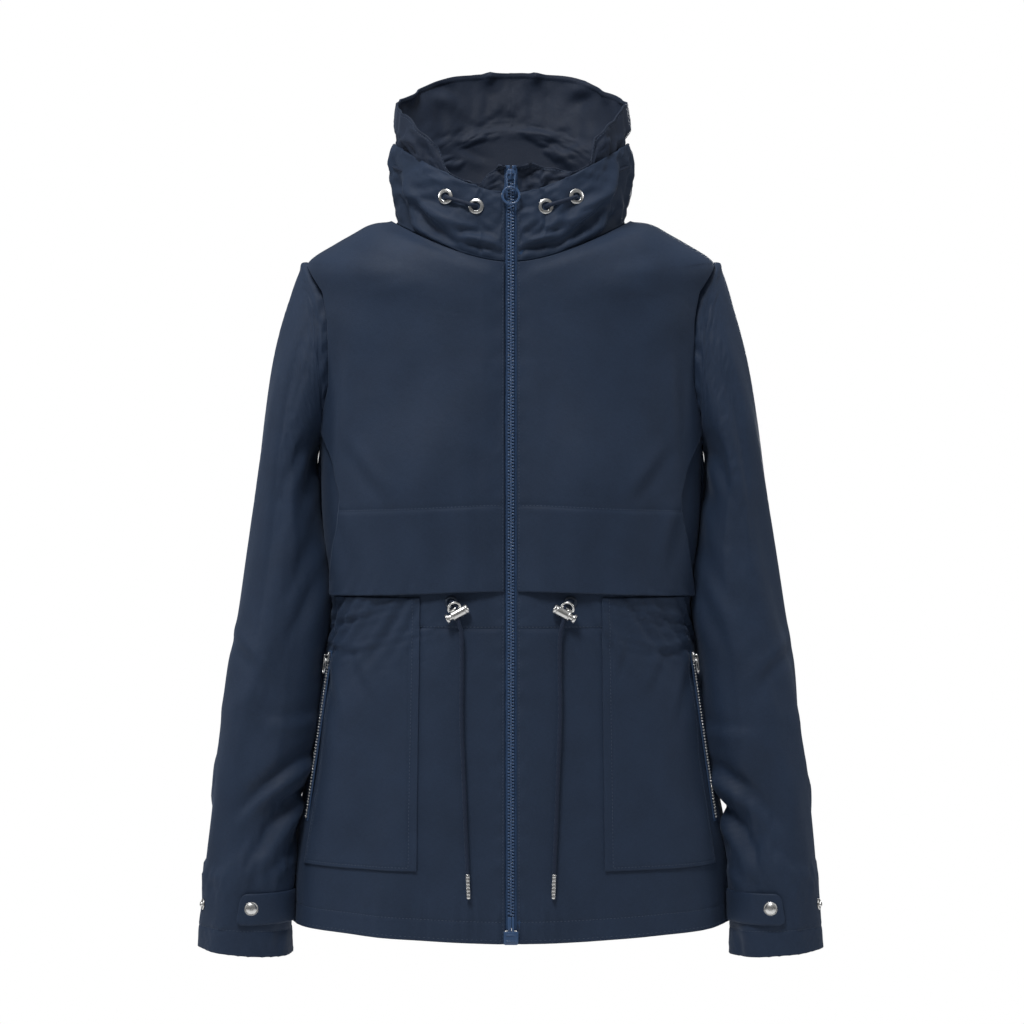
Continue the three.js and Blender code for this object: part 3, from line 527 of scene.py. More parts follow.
def rows_above(hem_height, shares):
    """Rows at shares of the way from a hem line up to the neck seam."""

    def rows(angle):
        angle = widened(angle, len(shares))
        low = row_at(angle, hem_height(angle))
        return low + (NECK_ROW - SEAM_GAP - low) * shares[None, :]

    return rows


def columns_between(start_x, end, step=3.0, near=30, fine=(), wide=200, fine_end=()):
    """Columns at constant distance from a front edge at first, then spread evenly to the end line."""
    edge = lines(start_x, near, step, fine)
    rest = lines(0, wide - near, step, [wide - near - f for f in fine_end]) / (wide - near)
    x = np.concatenate([edge, np.full(len(rest) - 1, float(near))])[:, None]
    share = np.concatenate([np.zeros(len(edge)), rest[1:]])[:, None]
    return lambda row: angle_of(x, row) * (1 - share) + end(row) * share


def columns_evenly(start, end, wide, step=3.0, fine=()):
    share = (lines(0, wide, step, fine) / wide)[:, None]
    return lambda row: start(row) * (1 - share) + end(row) * share


def sheet_form(outer, thickness, inner_normals=None, wrap=False):
    """A closed sheet of cloth under a grid of outer points."""
    nu, nv = outer.shape[:2]
    normals = grid_normals(outer, wrap) if inner_normals is None else inner_normals
    inner = outer - normals * np.broadcast_to(thickness, (nu, nv))[..., None]
    count = nu * nv
    front = grid_quads(nu, nv, wrap_u=wrap)
    back = front[:, ::-1] + count
    index = np.arange(count).reshape(nu, nv)
    rims = [(index[:, 0], True), (index[:, -1], False)]
    if not wrap:
        rims += [(index[0], False), (index[-1], True)]
    walls = []
    for rim, forward in rims:
        a, b = rim[:-1], rim[1:]
        if wrap:
            a, b = rim, np.roll(rim, -1)
        wall = np.stack([b, a, a + count, b + count] if forward else [a, b, b + count, a + count], -1)
        walls.append(wall)
    u = np.cumsum(np.linalg.norm(np.diff(outer[:, nv // 2], axis=0, prepend=outer[:1, nv // 2]), axis=-1))
    v = np.cumsum(np.linalg.norm(np.diff(outer[nu // 2], axis=0, prepend=outer[nu // 2, :1]), axis=-1))
    uv = np.stack(np.broadcast_arrays(u[:, None], v[None, :]), -1).reshape(-1, 2) * MM
    points = np.concatenate([outer.reshape(-1, 3), inner.reshape(-1, 3)])
    return Form(points, np.concatenate([front, back, *walls]), uv=np.concatenate([uv, uv]))


def cut_size(outer):
    """The flat width, length and area of a grid of cloth, in metres."""
    wide = max(arc_length(outer[:, k])[-1] for k in range(0, outer.shape[1], 8))
    long = max(arc_length(outer[k])[-1] for k in range(0, outer.shape[0], 8))
    a, b = outer[1:, 1:] - outer[:-1, :-1], outer[1:, :-1] - outer[:-1, 1:]
    area = np.linalg.norm(np.cross(a, b), axis=-1).sum() / 2
    return (wide * MM, long * MM), area * MM * MM


# ---------------------------------------------------------------- folds


class Fold:
    """A fold along a curve on a flat view (x, z): depth is positive outwards; a crease is a step."""

    def __init__(self, points, width, depth, crease=False):
        a, b, c = (np.array(p, float) for p in points)
        t = np.linspace(0, 1, 25)[:, None]
        self.line = (1 - t) ** 2 * a + 2 * t * (1 - t) * b + t * t * c
        self.width, self.depth, self.crease = width, depth, crease

    def height(self, x, z):
        low, high = self.line.min(0) - 3 * self.width, self.line.max(0) + 3 * self.width
        out = np.zeros(x.shape)
        near = (x > low[0]) & (x < high[0]) & (z > low[1]) & (z < high[1])
        if not near.any():
            return out
        at = np.stack([x[near], z[near]], -1)
        away = at[:, None] - self.line[None]
        i = np.linalg.norm(away, axis=-1).argmin(1)
        ahead = unit(np.gradient(self.line, axis=0))[i]
        nearest = away[np.arange(len(i)), i]
        q = (nearest[:, 0] * ahead[:, 1] - nearest[:, 1] * ahead[:, 0]) / self.width
        beyond = np.abs((nearest * ahead).sum(1)) / self.width
        t = i / (len(self.line) - 1)
        taper = np.sin(math.pi * np.clip(t, 0.04, 0.96)) ** 0.7 * bell(beyond)
        shape = 1.6 * q * bell(q) if self.crease else bell(q)
        out[near] = self.depth * taper * shape
        return out


def fold_height(folds, x, z):
    return sum((f.height(x, z) for f in folds), np.zeros(x.shape))


# ---------------------------------------------------------------- cloth simulation


def upsampled(coarse, nu, nv, step):
    """Smooth values of a coarse grid of vectors at every point of the fine one."""
    across = between(coarse.reshape(len(coarse), -1), np.arange(nu) / step).reshape(nu, -1, 3)
    turned = np.swapaxes(across, 0, 1).reshape(across.shape[1], -1)
    return np.swapaxes(between(turned, np.arange(nv) / step).reshape(nv, nu, 3), 0, 1)


CLOTH_FRAMES, CLOTH_STEP, CLOTH_GRAVITY = 24, 2, 0.15


def thinned(values, mode, **how):
    """Every second value of a grid, padded so that its last line is kept too."""
    pads = [(0, (1 - count) % CLOTH_STEP) for count in values.shape[:2]] + [(0, 0)] * (values.ndim - 2)
    return np.pad(values, pads, mode=mode, **how)[::CLOTH_STEP, ::CLOTH_STEP]


def weigh(made, group, weights):
    """Gives a mesh's points their weights in a new vertex group."""
    added = made.vertex_groups.new(name=group)
    for i, weight in enumerate(weights.ravel().tolist()):
        added.add([i], weight, "REPLACE")


def make_cloth(made, bending, most_spare):
    """Limp cloth, held by its pins, that grows by its spare share."""
    cloth = made.modifiers.new("cloth", "CLOTH")
    cloth.collision_settings.use_collision = False
    settings = cloth.settings
    settings.quality = 5
    settings.mass = 0.1
    settings.tension_stiffness = 20
    settings.compression_stiffness = 20
    settings.shear_stiffness = 8
    settings.bending_stiffness = bending
    settings.vertex_group_mass = "held"
    settings.vertex_group_shrink = "full_size"
    settings.shrink_min = -most_spare
    settings.shrink_max = 0
    settings.effector_weights.gravity = CLOTH_GRAVITY


def played(made, shape):
    """Where the points of a simulated sheet are at the last frame. The sheet is then removed."""
    scene = bpy.context.scene
    for number in range(1, CLOTH_FRAMES + 1):
        scene.frame_set(number)
    evaluated = made.evaluated_get(bpy.context.evaluated_depsgraph_get())
    points = np.zeros(math.prod(shape), np.float32)
    evaluated.data.vertices.foreach_get("co", points)
    scene.frame_set(1)
    bpy.data.objects.remove(made)
    return points.reshape(shape).astype(float) / MM


def settled(points, held, spare, seed, reach, bending=0.4):
    """How far each point of a sheet moves when its spare cloth buckles. held is 1 where it is sewn down."""
    nu, nv = points.shape[:2]
    rest = thinned(points, "reflect", reflect_type="odd")
    held, spare = thinned(held, "edge"), thinned(spare, "edge")
    ruffle = np.random.default_rng(seed).normal(0, 0.5, rest.shape[:2])[..., None]
    start = rest + grid_normals(rest) * ruffle * (1 - held)[..., None]
    made = mesh_object("cloth_at_rest", Form(start, grid_quads(*rest.shape[:2])), None)
    most_spare = max(float(spare.max()), 1e-6)
    weigh(made, "held", held)
    weigh(made, "full_size", 1 - spare / most_spare)
    make_cloth(made, bending, most_spare)
    shift = played(made, rest.shape) - rest
    far = np.linalg.norm(shift, axis=-1, keepdims=True)
    shift *= reach * np.tanh(far / reach) / np.maximum(far, 1e-6)
    return upsampled(shift, nu, nv, CLOTH_STEP)


# ---------------------------------------------------------------- materials

SLOT_COLOURS = {m["slot"]: m["base_color"] for m in frame["record"]["materials"]}


class Shader:
    """A material whose Principled shader is fed by nodes."""

    def __init__(self, name, roughness, metallic=0.0):
        self.material = bpy.data.materials.new(name)
        self.material.use_nodes = True
        self.nodes = self.material.node_tree.nodes
        self.links = self.material.node_tree.links
        self.main = self.nodes["Principled BSDF"]
        self.main.inputs["Roughness"].default_value = roughness
        self.main.inputs["Metallic"].default_value = metallic

    def add(self, kind, settings=(), **inputs):
        node = self.nodes.new("ShaderNode" + kind)
        for key, value in dict(settings).items():
            setattr(node, key, value)
        for key, value in inputs.items():
            self.feed(node, key, value)
        return node

    def feed(self, node, key, value):
        socket = node.inputs[int(key[1:])] if key[0] == "i" and key[1:].isdigit() else node.inputs[key]
        if isinstance(value, bpy.types.NodeSocket):
            self.links.new(value, socket)
        else:
            socket.default_value = value

    def noise(self, where, scale, detail=3.0, roughness=0.5):
        node = self.add("TexNoise", Vector=where, Scale=scale, Detail=detail, Roughness=roughness)
        return node.outputs["Fac"]

    def stretched(self, where, scale):
        return self.add("Mapping", Vector=where, Scale=scale).outputs["Vector"]

    def maths(self, kind, a, b):
        return self.add("Math", {"operation": kind}, i0=a, i1=b).outputs[0]

    def ramp(self, value, low, high):
        """Value from 0..1 mapped to low..high."""
        return self.add("MapRange", Value=value, **{"To Min": low, "To Max": high}).outputs["Result"]

    def tinted(self, colour, share):
        """The colour made lighter or darker by a share, fed to the shader."""
        hue = self.add("HueSaturation", Color=(*colour, 1), Value=share)
        self.feed(self.main, "Base Color", hue.outputs["Color"])

    def bump(self, height, distance, strength=1.0, after=None):
        inputs = {"Height": height, "Distance": distance, "Strength": strength}
        if after is not None:
            inputs["Normal"] = after
        return self.add("Bump", **inputs).outputs["Normal"]

    def finish(self, normal):
        self.feed(self.main, "Normal", normal)
        return self.material


def cloth_material(name, colour, thread=0.45, sheen=0.1):
    """A fine plain weave: threads both ways, uneven yarn, faint crinkle and slight shading."""
    shader = Shader(name, 0.62)
    shader.main.inputs["Specular IOR Level"].default_value = 0.28
    shader.main.inputs["Sheen Weight"].default_value = sheen
    shader.main.inputs["Sheen Roughness"].default_value = 0.45
    shader.main.inputs["Sheen Tint"].default_value = (0.55, 0.7, 1.0, 1)
    cloth = shader.add("UVMap", {"uv_map": "cloth"}).outputs["UV"]
    place = shader.add("TexCoord").outputs["Object"]
    pitch = 2 * math.pi / (20 * thread * MM)
    across = shader.add("TexWave", {"bands_direction": "X"}, Vector=cloth, Scale=pitch).outputs["Fac"]
    along = shader.add("TexWave", {"bands_direction": "Y"}, Vector=cloth, Scale=pitch).outputs["Fac"]
    weave = shader.maths("MULTIPLY", across, along)
    slub = shader.noise(shader.stretched(cloth, (260, 1900, 1)), 1.0, 2.0)
    slub_up = shader.noise(shader.stretched(cloth, (2100, 300, 1)), 1.0, 2.0)
    cloud = shader.noise(place, 26, 3.0)
    crinkle = shader.noise(place, 150, 5.0, 0.6)
    yarn = shader.maths("ADD", shader.ramp(slub, -0.2, 0.2), shader.ramp(slub_up, -0.16, 0.16))
    shade = shader.maths("ADD", shader.ramp(cloud, 0.8, 1.2), yarn)
    shader.tinted(colour, shader.maths("ADD", shade, shader.ramp(weave, -0.06, 0.06)))
    shader.feed(shader.main, "Roughness", shader.ramp(crinkle, 0.54, 0.7))
    normal = shader.bump(weave, 0.03 * MM)
    normal = shader.bump(yarn, 0.25 * MM, 0.6, normal)
    return shader.finish(shader.bump(crinkle, 0.55 * MM, 0.5, normal))


def thread_material(name, colour):
    """Twisted sewing thread."""
    shader = Shader(name, 0.5)
    place = shader.add("TexCoord").outputs["Object"]
    twist = shader.noise(place, 1500, 2.0)
    shader.tinted(colour, shader.ramp(twist, 0.8, 1.25))
    return shader.finish(shader.bump(twist, 0.08 * MM))


def metal_material(name, colour):
    """Plated metal: polished, with faint handling marks."""
    roughness = 0.24
    shader = Shader(name, roughness, 1.0)
    place = shader.add("TexCoord").outputs["Object"]
    smear = shader.noise(place, 220, 4.0)
    scratch = shader.noise(shader.stretched(place, (1, 1, 7)), 900, 2.0)
    shader.tinted(colour, shader.ramp(smear, 0.93, 1.05))
    shader.feed(shader.main, "Roughness", shader.ramp(smear, roughness * 0.6, roughness * 1.7))
    return shader.finish(shader.bump(scratch, 0.01 * MM, 0.4))


def plastic_material(name, colour, roughness=0.3):
    """Moulded plastic or paint with a thin gloss."""
    shader = Shader(name, roughness)
    shader.main.inputs["Coat Weight"].default_value = 0.25
    shader.main.inputs["Coat Roughness"].default_value = 0.15
    place = shader.add("TexCoord").outputs["Object"]
    cloud = shader.noise(place, 300, 3.0)
    shader.tinted(colour, shader.ramp(cloud, 0.88, 1.12))
    shader.feed(shader.main, "Roughness", shader.ramp(cloud, roughness * 0.8, roughness * 1.25))
    return shader.finish(shader.bump(cloud, 0.03 * MM))


def lighter(colour, share):
    return tuple(min(1, c * share) for c in colour)


def deeper(colour, blue=1.22):
    """A little bluer, to make up for the grey that the soft gloss adds."""
    red, green, last = colour
    return (red * 0.92, green * (1 + (blue - 1) / 4), last * blue)


SHELL = cloth_material("shell_cloth", deeper(SLOT_COLOURS["shell_cloth"]))
INNER = cloth_material("inner_cloth", deeper(SLOT_COLOURS["inner_cloth"]))
TAPE = cloth_material("zip_tape", lighter(deeper(SLOT_COLOURS["zip_tape"], 1.5), 1.25), thread=0.8)
CORD = cloth_material("drawcord", lighter(deeper(SLOT_COLOURS["drawcord"], 1.5), 1.7), thread=0.9)
BLUE = plastic_material("zip_plastic", lighter(deeper(SLOT_COLOURS["zip_plastic"], 1.4), 1.2))
METAL = metal_material("metal_trim", lighter(SLOT_COLOURS["metal_trim"], 1.25))
PAINTED = plastic_material("painted_metal", SLOT_COLOURS["shell_cloth"], 0.35)
THREAD = thread_material("sewing_thread", lighter(SLOT_COLOURS["shell_cloth"], 2.0))

# ---------------------------------------------------------------- placing pieces


def shown(name, form, material, body="jacket_shell", replaces=()):
    """A finished piece that rides on a body and stands for CAD nodes."""
    made = mesh_object(name, form, material)
    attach(made, body)
    if replaces:
        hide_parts(*replaces)
    return made


def cloth_piece(name, outer, thickness, stands_for, side=1, rides=True, wrap=False, cut=None, lining=False):
    """A sheet of cloth in place of a CAD node; the size it was cut to is worked out but not passed on."""
    material, slot = (INNER, "inner_cloth") if lining else (SHELL, "shell_cloth")
    made = mesh_object(name, sheet_form(outer, thickness, wrap=wrap).on_side(side), material)
    if rides:
        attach(made, "jacket_shell")
    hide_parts(stands_for)
    flat, area = cut_size(outer if cut is None else cut)
    whole = flat[0] * flat[1]
    area = min(max(area, LEAST_SHARE * whole), whole)
    return made


# A sheet's cut shape covers at least this share of the flat rectangle round it.
LEAST_SHARE = 0.31
SEAMS = {}


def stitch(body, line, normals, side=1, pitch=3.4, length=2.3, radius=0.28):
    """Adds a row of stitches along a line on the cloth, kept for the body's sewing."""
    along = arc_length(line)
    count = max(1, int(along[-1] / pitch))
    at = (np.arange(count) + 0.5) * along[-1] / count
    place = lambda values, s: np.stack([np.interp(s, along, values[:, k]) for k in range(3)], -1)
    centre, normal = place(line, at), unit(place(normals, at))
    ahead = unit(place(line, at + 0.2) - place(line, at - 0.2))
    across = np.cross(normal, ahead)
    rings = np.array([(-0.5, 0.0), (-0.36, 0.75), (0, 1.0), (0.36, 0.75), (0.5, 0.0)])
    turn = np.arange(6) * math.pi / 3
    lift = 0.16 - 1.3 * rings[:, 0] ** 2
    body_points = (
        centre[:, None, None]
        + ahead[:, None, None] * (rings[:, 0] * length)[None, :, None, None]
        + normal[:, None, None] * (lift[:, None] + radius * rings[:, 1:] * np.cos(turn))[None, :, :, None]
        + across[:, None, None] * (radius * rings[:, 1:] * np.sin(turn))[None, :, :, None]
    )
    one = grid_quads(6, len(rings), wrap_u=True)
    one = np.arange(30).reshape(len(rings), 6).T.ravel()[one]
    quads = (one[None] + (np.arange(count) * 30)[:, None, None]).reshape(-1, 4)
    SEAMS.setdefault(body, []).append(Form(body_points.reshape(-1, 3), quads).on_side(side))


def sew(outer, across, up, side=1, body="jacket_shell", **how):
    """Stitches along one line of a grid of cloth, given by its column and row numbers."""
    stitch(body, outer[across, up], grid_normals(outer)[across, up], side, **how)


# ---------------------------------------------------------------- body cloth

arm_edge = trimmed(ARMHOLE, 30 * DEG, SIDE_SEAM)
flap_edge = trimmed(YOKE_SIDE, 30 * DEG, 90 * DEG)
back_arm_edge = trimmed(ARMHOLE, 150 * DEG, SIDE_SEAM)
WAIST_STITCH = -381.5
HEM_STITCH_ROW, WAIST_STITCH_ROW = 0.285, 4.125
ZIP_STITCH_X = 7.6
# Where the cloth lies flat under hardware: x, z and reach, for the waist eyelet and for the cord lock.
HARDWARE = [(*WAIST_EYELET, 16), (47, -372, 20)]


def clear_of(spots, x, z):
    """0 at each spot of hardware and 1 away from it."""
    share = np.ones(np.shape(x))
    for sx, sz, reach in spots:
        share = share * (1 - bell(np.hypot(np.abs(x) - sx, z - sz) / reach) ** 2)
    return share


def beside_sleeve(angle, z):
    """The loose cloth at the sides, which swells out to rest against the sleeve."""
    at_side = bell((angle - 96 * DEG) / (17 * DEG))
    under_arm = 8.5 * bell((z + 258) / 52)
    waist = 4.5 * bell((z + 410) / 55)
    hip = (5.5 + 2.2 * bell((z + 605) / 40)) * smooth((-415 - z) / 60) * smooth((z + 690) / 25)
    return at_side * (under_arm + waist + hip)


def body_relief(side, angle, p):
    """Soft drapes towards the hem, and gathers at the waist cord, shared by all layers of the body."""
    z = p[..., 2]
    seed = 21 if side > 0 else 22
    away = np.abs(angle)
    side_share = smooth((away - 20 * DEG) / (35 * DEG))
    drape = 3.0 * smooth((-395 - z) / 230) * waves(angle + (z + 400) / 1500, seed, (7, 10, 15))
    drape *= 0.15 + 0.85 * side_share
    spread = 1 + 0.25 * (z - CASING_LOW) / 60
    gather = waves(angle * spread, seed + 2, (37, 49, 64)) + 0.5 * waves(angle + z / 40, seed + 5, (23, 31))
    gather = 2.3 * np.tanh(gather) * bell((z - CASING_LOW - 4) / 34) * side_share
    chest = 0.8 * smooth((z + 420) / 200) * waves(angle * 1.5 + z / 90, seed + 4, (3, 5))
    chest += 0.55 * waves(angle + z / 420, seed + 7, (17, 23)) * waves(z / 34 - angle, seed + 8, (1, 2))
    soft = (drape + gather) * clear_of(HARDWARE, p[..., 0], z) + chest * smooth((-60 - z) / 60)
    return soft + beside_sleeve(away, z)


def groove(away, depth=0.5, width=1.0):
    return -depth * bell(away / width)


def zip_edge_relief(x, z):
    """The turned edge beside the zip, its stitching and the slight puckers along it."""
    pucker = 0.45 * np.sin(z / 3.6 + 1.5 * np.sin(z / 31)) * bell((x - 10) / 5)
    return -0.7 * bell((x - FRONT_EDGE) / 0.9) + groove(x - ZIP_STITCH_X, 0.45) + pucker


FRONT_FOLDS = [
    Fold([(20, -400), (24, -500), (22, -650)], 14, 0.8),
    Fold([(70, -395), (64, -480), (74, -600)], 12, 0.9),
    Fold([(178, -392), (160, -412), (120, -398)], 5, 2.2, True),
    Fold([(180, -402), (166, -430), (158, -475)], 7, 2.4, True),
    Fold([(172, -372), (150, -378), (128, -366)], 5, 2.0, True),
    Fold([(150, -392), (144, -425), (128, -446)], 7, 1.7, True),
    Fold([(112, -388), (108, -412), (100, -430)], 6, 1.4, True),
    Fold([(186, -470), (176, -530), (178, -600)], 12, -1.8),
    Fold([(150, -480), (146, -540), (156, -620)], 16, 1.3),
]


def front_relief(lay, side):
    """The height of a front panel's cloth, kept low under the yoke flap and behind the hanging cord."""
    x, z = lay.x, lay.z
    relief = body_relief(side, lay.angle, lay.base) + zip_edge_relief(x, z)
    relief += fold_height(FRONT_FOLDS, x + 3 * side, z) * clear_of(HARDWARE, x, z)
    relief += groove(z - WAIST_STITCH, 0.8, 1.4)
    hem = lay.row / HEM_STITCH_ROW - 1
    relief += groove(hem * 20, 0.5) + 0.8 * waves(lay.angle, 31, (60, 83)) * bell(hem * 1.1)
    relief = np.where(z > YOKE_HEM + 8, np.minimum(relief, 1.5), relief)
    near_cord = bell((x - 48) / 14) * (z < -340) * (z > -640)
    return np.where(near_cord > 0.3, np.minimum(relief, 1.2), relief)


def front_panel(name, side):
    columns = columns_between(FRONT_EDGE, arm_edge, wide=205, fine=(ZIP_STITCH_X,))
    rows = row_lines(HEM_ROW, NECK_ROW, 3.2, fine=(HEM_STITCH_ROW, WAIST_STITCH_ROW))
    lay = Layout(columns, straight_rows(rows), 7)
    outer = lay.lifted(front_relief(lay, side))
    thick = CLOTH + 1.0 * (lay.row / HEM_STITCH_ROW < 1)
    cloth_piece(f"front_cloth_{name}", outer, thick, f"front_panel_{name}", side, cut=lay.base)
    sew(outer, slice(3, None), nearest(rows, HEM_STITCH_ROW), side)
    sew(outer, slice(3, None), nearest(rows, WAIST_STITCH_ROW), side)
    zip_line = nearest(lay.x[:, 3], ZIP_STITCH_X)
    sew(outer, zip_line, slice(2, nearest(lay.z[zip_line], YOKE_HEM - 2)), side)
    sew(outer, slice(2, -2), 3, side, pitch=4.5)


def signed(angle):
    """The same angle counted from -180 to 180 degrees."""
    return np.where(angle > math.pi, angle - 2 * math.pi, angle)


def back_panel():
    columns = columns_evenly(back_arm_edge, lambda row: 2 * math.pi - back_arm_edge(row), 420, 3.4)
    rows = row_lines(HEM_ROW, NECK_ROW, 3.4, fine=(HEM_STITCH_ROW, WAIST_STITCH_ROW))
    lay = Layout(columns, straight_rows(rows), 7)
    relief = body_relief(1, signed(lay.angle), lay.base) + groove(lay.z - WAIST_STITCH, 0.8, 1.4)
    relief += groove((lay.row / HEM_STITCH_ROW - 1) * 20, 0.5)
    relief = np.where(lay.z > BACK_YOKE_HEM + 8, np.clip(relief, -3, 1.5), relief)
    outer = lay.lifted(relief)
    thick = CLOTH + 1.0 * (lay.row < HEM_STITCH_ROW)
    cloth_piece("back_cloth", outer, thick, "back_panel", cut=lay.base)
    for row in (HEM_STITCH_ROW, WAIST_STITCH_ROW):
        sew(outer, slice(2, -2), nearest(rows, row))


FLAP_FOLDS = [
    Fold([(158, -112), (160, -190), (165, -262)], 8, 3.0, True),
    Fold([(152, -205), (132, -238), (108, -262)], 9, 2.8, True),
    Fold([(163, -262), (150, -292), (146, -330)], 9, 3.0, True),
    Fold([(120, -150), (124, -215), (104, -290)], 18, 1.8),
    Fold([(60, -75), (70, -150), (62, -230)], 24, 1.3),
    Fold([(28, -120), (36, -200), (30, -290)], 16, 0.9),
    Fold([(172, -70), (150, -100), (120, -110)], 15, 2.0),
    Fold([(86, -55), (110, -64), (140, -60)], 8, 1.5),
    Fold([(150, -40), (120, -52), (96, -44)], 8, 1.2),
    Fold([(94, -232), (80, -262), (86, -306)], 12, 1.4),
]
FLAP_STITCH, FLAP_HIGH = 46, 355.0
BACK_YOKE_STITCH, BACK_YOKE_HIGH = 30, 245.0
YOKE_AT_NECK = 1.3


def ridge(x, z):
    """The cloth over the shoulder, a little fuller than the body under it."""
    neck_side = 2.6 * bell((np.abs(x) - 128) / 16) * smooth((z + 40) / 40)
    return 2.0 * smooth((z + 100) / 60) + neck_side


def yoke_offset(below_neck):
    """How far a yoke stands off the body: little at the neck seam, and in full 5 cm below it."""
    return (YOKE_OUTER - YOKE_AT_NECK) * smooth(0.2 + below_neck / 60)


def flap_relief(lay, up, side):
    """The height of a front yoke flap's cloth over the body."""
    x, z = lay.x, lay.z
    offset = YOKE_AT_NECK + yoke_offset(FLAP_HIGH - up) * smooth((x - 6) / 22)
    shoulder = smooth((z + 110) / 40) * smooth((x - 120) / 50)
    offset = offset * (1 - 0.45 * shoulder) + 0.4 * shoulder
    relief = offset + 0.7 * np.maximum(body_relief(side, lay.angle, lay.base), -2)
    relief += zip_edge_relief(x, z) * 0.8 + fold_height(FLAP_FOLDS, x + 2 * side, z)
    hem_wave = waves(lay.angle, 41 + side, (9, 15, 22))
    relief += smooth((x - 14) / 30) * bell(up / 60) * (1.4 + 1.5 * hem_wave)
    relief += groove(up - FLAP_STITCH, 0.6, 1.2) + 0.5 * smooth((FLAP_STITCH - up) / 2)
    relief += ridge(x, z)
    edge = (1 - np.linspace(0, 1, len(x)))[:, None]
    return np.maximum(relief, 1.25) - 1.0 * bell(edge / 0.012) * (z > -190)


def yoke_flap(name, side):
    columns = columns_between(FRONT_EDGE + 0.5, flap_edge, wide=180, fine=(ZIP_STITCH_X,), fine_end=(2.5,))
    share = lines(0, FLAP_HIGH, 3.0, fine=(FLAP_STITCH,)) / FLAP_HIGH
    hem_height = lambda angle: YOKE_HEM - YOKE_HEM_DROP * smooth(angle / (80 * DEG))
    lay = Layout(columns, rows_above(hem_height, share), 9)
    up = share[None, :] * FLAP_HIGH + 0 * lay.x
    outer = lay.lifted(flap_relief(lay, up, side))
    thick = CLOTH * (0.9 + 0.9 * (up < FLAP_STITCH))
    cloth_piece(f"yoke_flap_cloth_{name}", outer, thick, f"yoke_flap_{name}", side, cut=lay.base)
    sew(outer, slice(3, -1), nearest(share * FLAP_HIGH, FLAP_STITCH), side)
    sew(outer, nearest(lay.x[:, 3], ZIP_STITCH_X), slice(1, None), side)


def back_yoke():
    start = lambda row: np.maximum(back_arm_edge(row), 90.3 * DEG)
    columns = columns_evenly(start, lambda row: 2 * math.pi - start(row), 420, 3.4)
    share = lines(0, BACK_YOKE_HIGH, 3.2, fine=(BACK_YOKE_STITCH,)) / BACK_YOKE_HIGH
    lay = Layout(columns, rows_above(lambda angle: BACK_YOKE_HEM, share), 9)
    up = share[None, :] * BACK_YOKE_HIGH + 0 * lay.row
    relief = YOKE_AT_NECK + yoke_offset(BACK_YOKE_HIGH - up)
    relief += bell(up / 50) * (0.8 + 1.3 * waves(lay.angle, 47, (9, 14, 21)))
    relief += groove(up - BACK_YOKE_STITCH, 0.6, 1.2) + ridge(lay.x, lay.z)
    outer = lay.lifted(np.maximum(relief, 1.4))
    cloth_piece("back_yoke_cloth", outer, CLOTH, "back_yoke", cut=lay.base)
    sew(outer, slice(2, -2), nearest(share * BACK_YOKE_HIGH, BACK_YOKE_STITCH))


def level_layout(start, end, wide, low, high, step=3.0, fine_across=(), fine_up=(), near=False):
    """A panel between two heights."""
    heights = lines(low, high, step, fine_up)
    if near:
        columns = columns_between(start, end, wide=wide, near=start + 12, fine=fine_across, fine_end=(2.2,))
    else:
        columns = columns_evenly(start, end, wide, step, fine_across)
    return Layout(columns, level_rows(heights), 3), heights


def patch_pocket(name, side):
    """A flat pocket sewn down along its inner edge, its bottom and its side."""
    end = lambda row: np.full(np.shape(row), POCKET_SIDE)
    seam_x, seam_z = POCKET_EDGE + POCKET_SEAM, POCKET_BOTTOM + POCKET_SEAM
    lay, heights = level_layout(POCKET_EDGE, end, 205, POCKET_BOTTOM, POCKET_TOP, fine_across=(seam_x,),
                                fine_up=(seam_z,), near=True)
    x, z = lay.x, lay.z
    across = arc_length(lay.base[:, len(heights) // 2])[:, None]
    inward = np.minimum(np.minimum(x - POCKET_EDGE, z - POCKET_BOTTOM), across[-1] - across)
    relief = POCKET_OUTER - 0.5 + body_relief(side, lay.angle, lay.base)
    relief += fold_height(FRONT_FOLDS, x + 3 * side, z)
    relief += groove(inward - POCKET_SEAM, 0.5) - 0.45 * bell(inward / 1.8)
    relief += 0.7 * smooth(inward / 30) * waves(z / 40 + x / 60, 51, (2, 3))
    relief += 0.8 * bell((z - POCKET_BOTTOM) / 9)
    outer = lay.lifted(relief)
    cloth_piece(f"patch_pocket_cloth_{name}", outer, 0.7, f"patch_pocket_{name}", side, cut=lay.base)
    inner, bottom = nearest(x[:, 0], seam_x), nearest(heights, seam_z)
    sew(outer, inner, slice(bottom, None), side)
    sew(outer, slice(inner, -2), bottom, side)
    sew(outer, -3, slice(bottom, None), side, pitch=3.6)


def waist_casing():
    """The channel of the waist cord, inside the shell."""
    start = lambda row: angle_of(CASING_EDGE, row)
    lay, _ = level_layout(start, lambda row: 2 * math.pi - start(row), 830, CASING_LOW, CASING_HIGH, 4.0)
    relief = CASING_OUTER + 0.5 * waves(lay.angle, 61, (50, 70))
    cloth_piece("waist_casing_cloth", lay.lifted(relief), 0.9, "waist_casing", cut=lay.base, lining=True)


def storm_flap():
    """The strip of lining behind the zip."""
    start, end = (lambda row: angle_of(STORM_FROM, row)), (lambda row: angle_of(STORM_TO, row))
    columns = columns_evenly(start, end, STORM_TO - STORM_FROM, 4.0)
    rows = row_lines(0.2, NECK_ROW - 0.2, 4.0)
    lay = Layout(columns, straight_rows(rows), 7)
    relief = STORM_OUTER - 0.3 + 0.25 * waves(lay.z / 30, 63, (2, 3))
    cloth_piece("storm_flap_cloth", lay.lifted(relief), 0.9, "storm_flap", cut=lay.base, lining=True)


# ---------------------------------------------------------------- collar

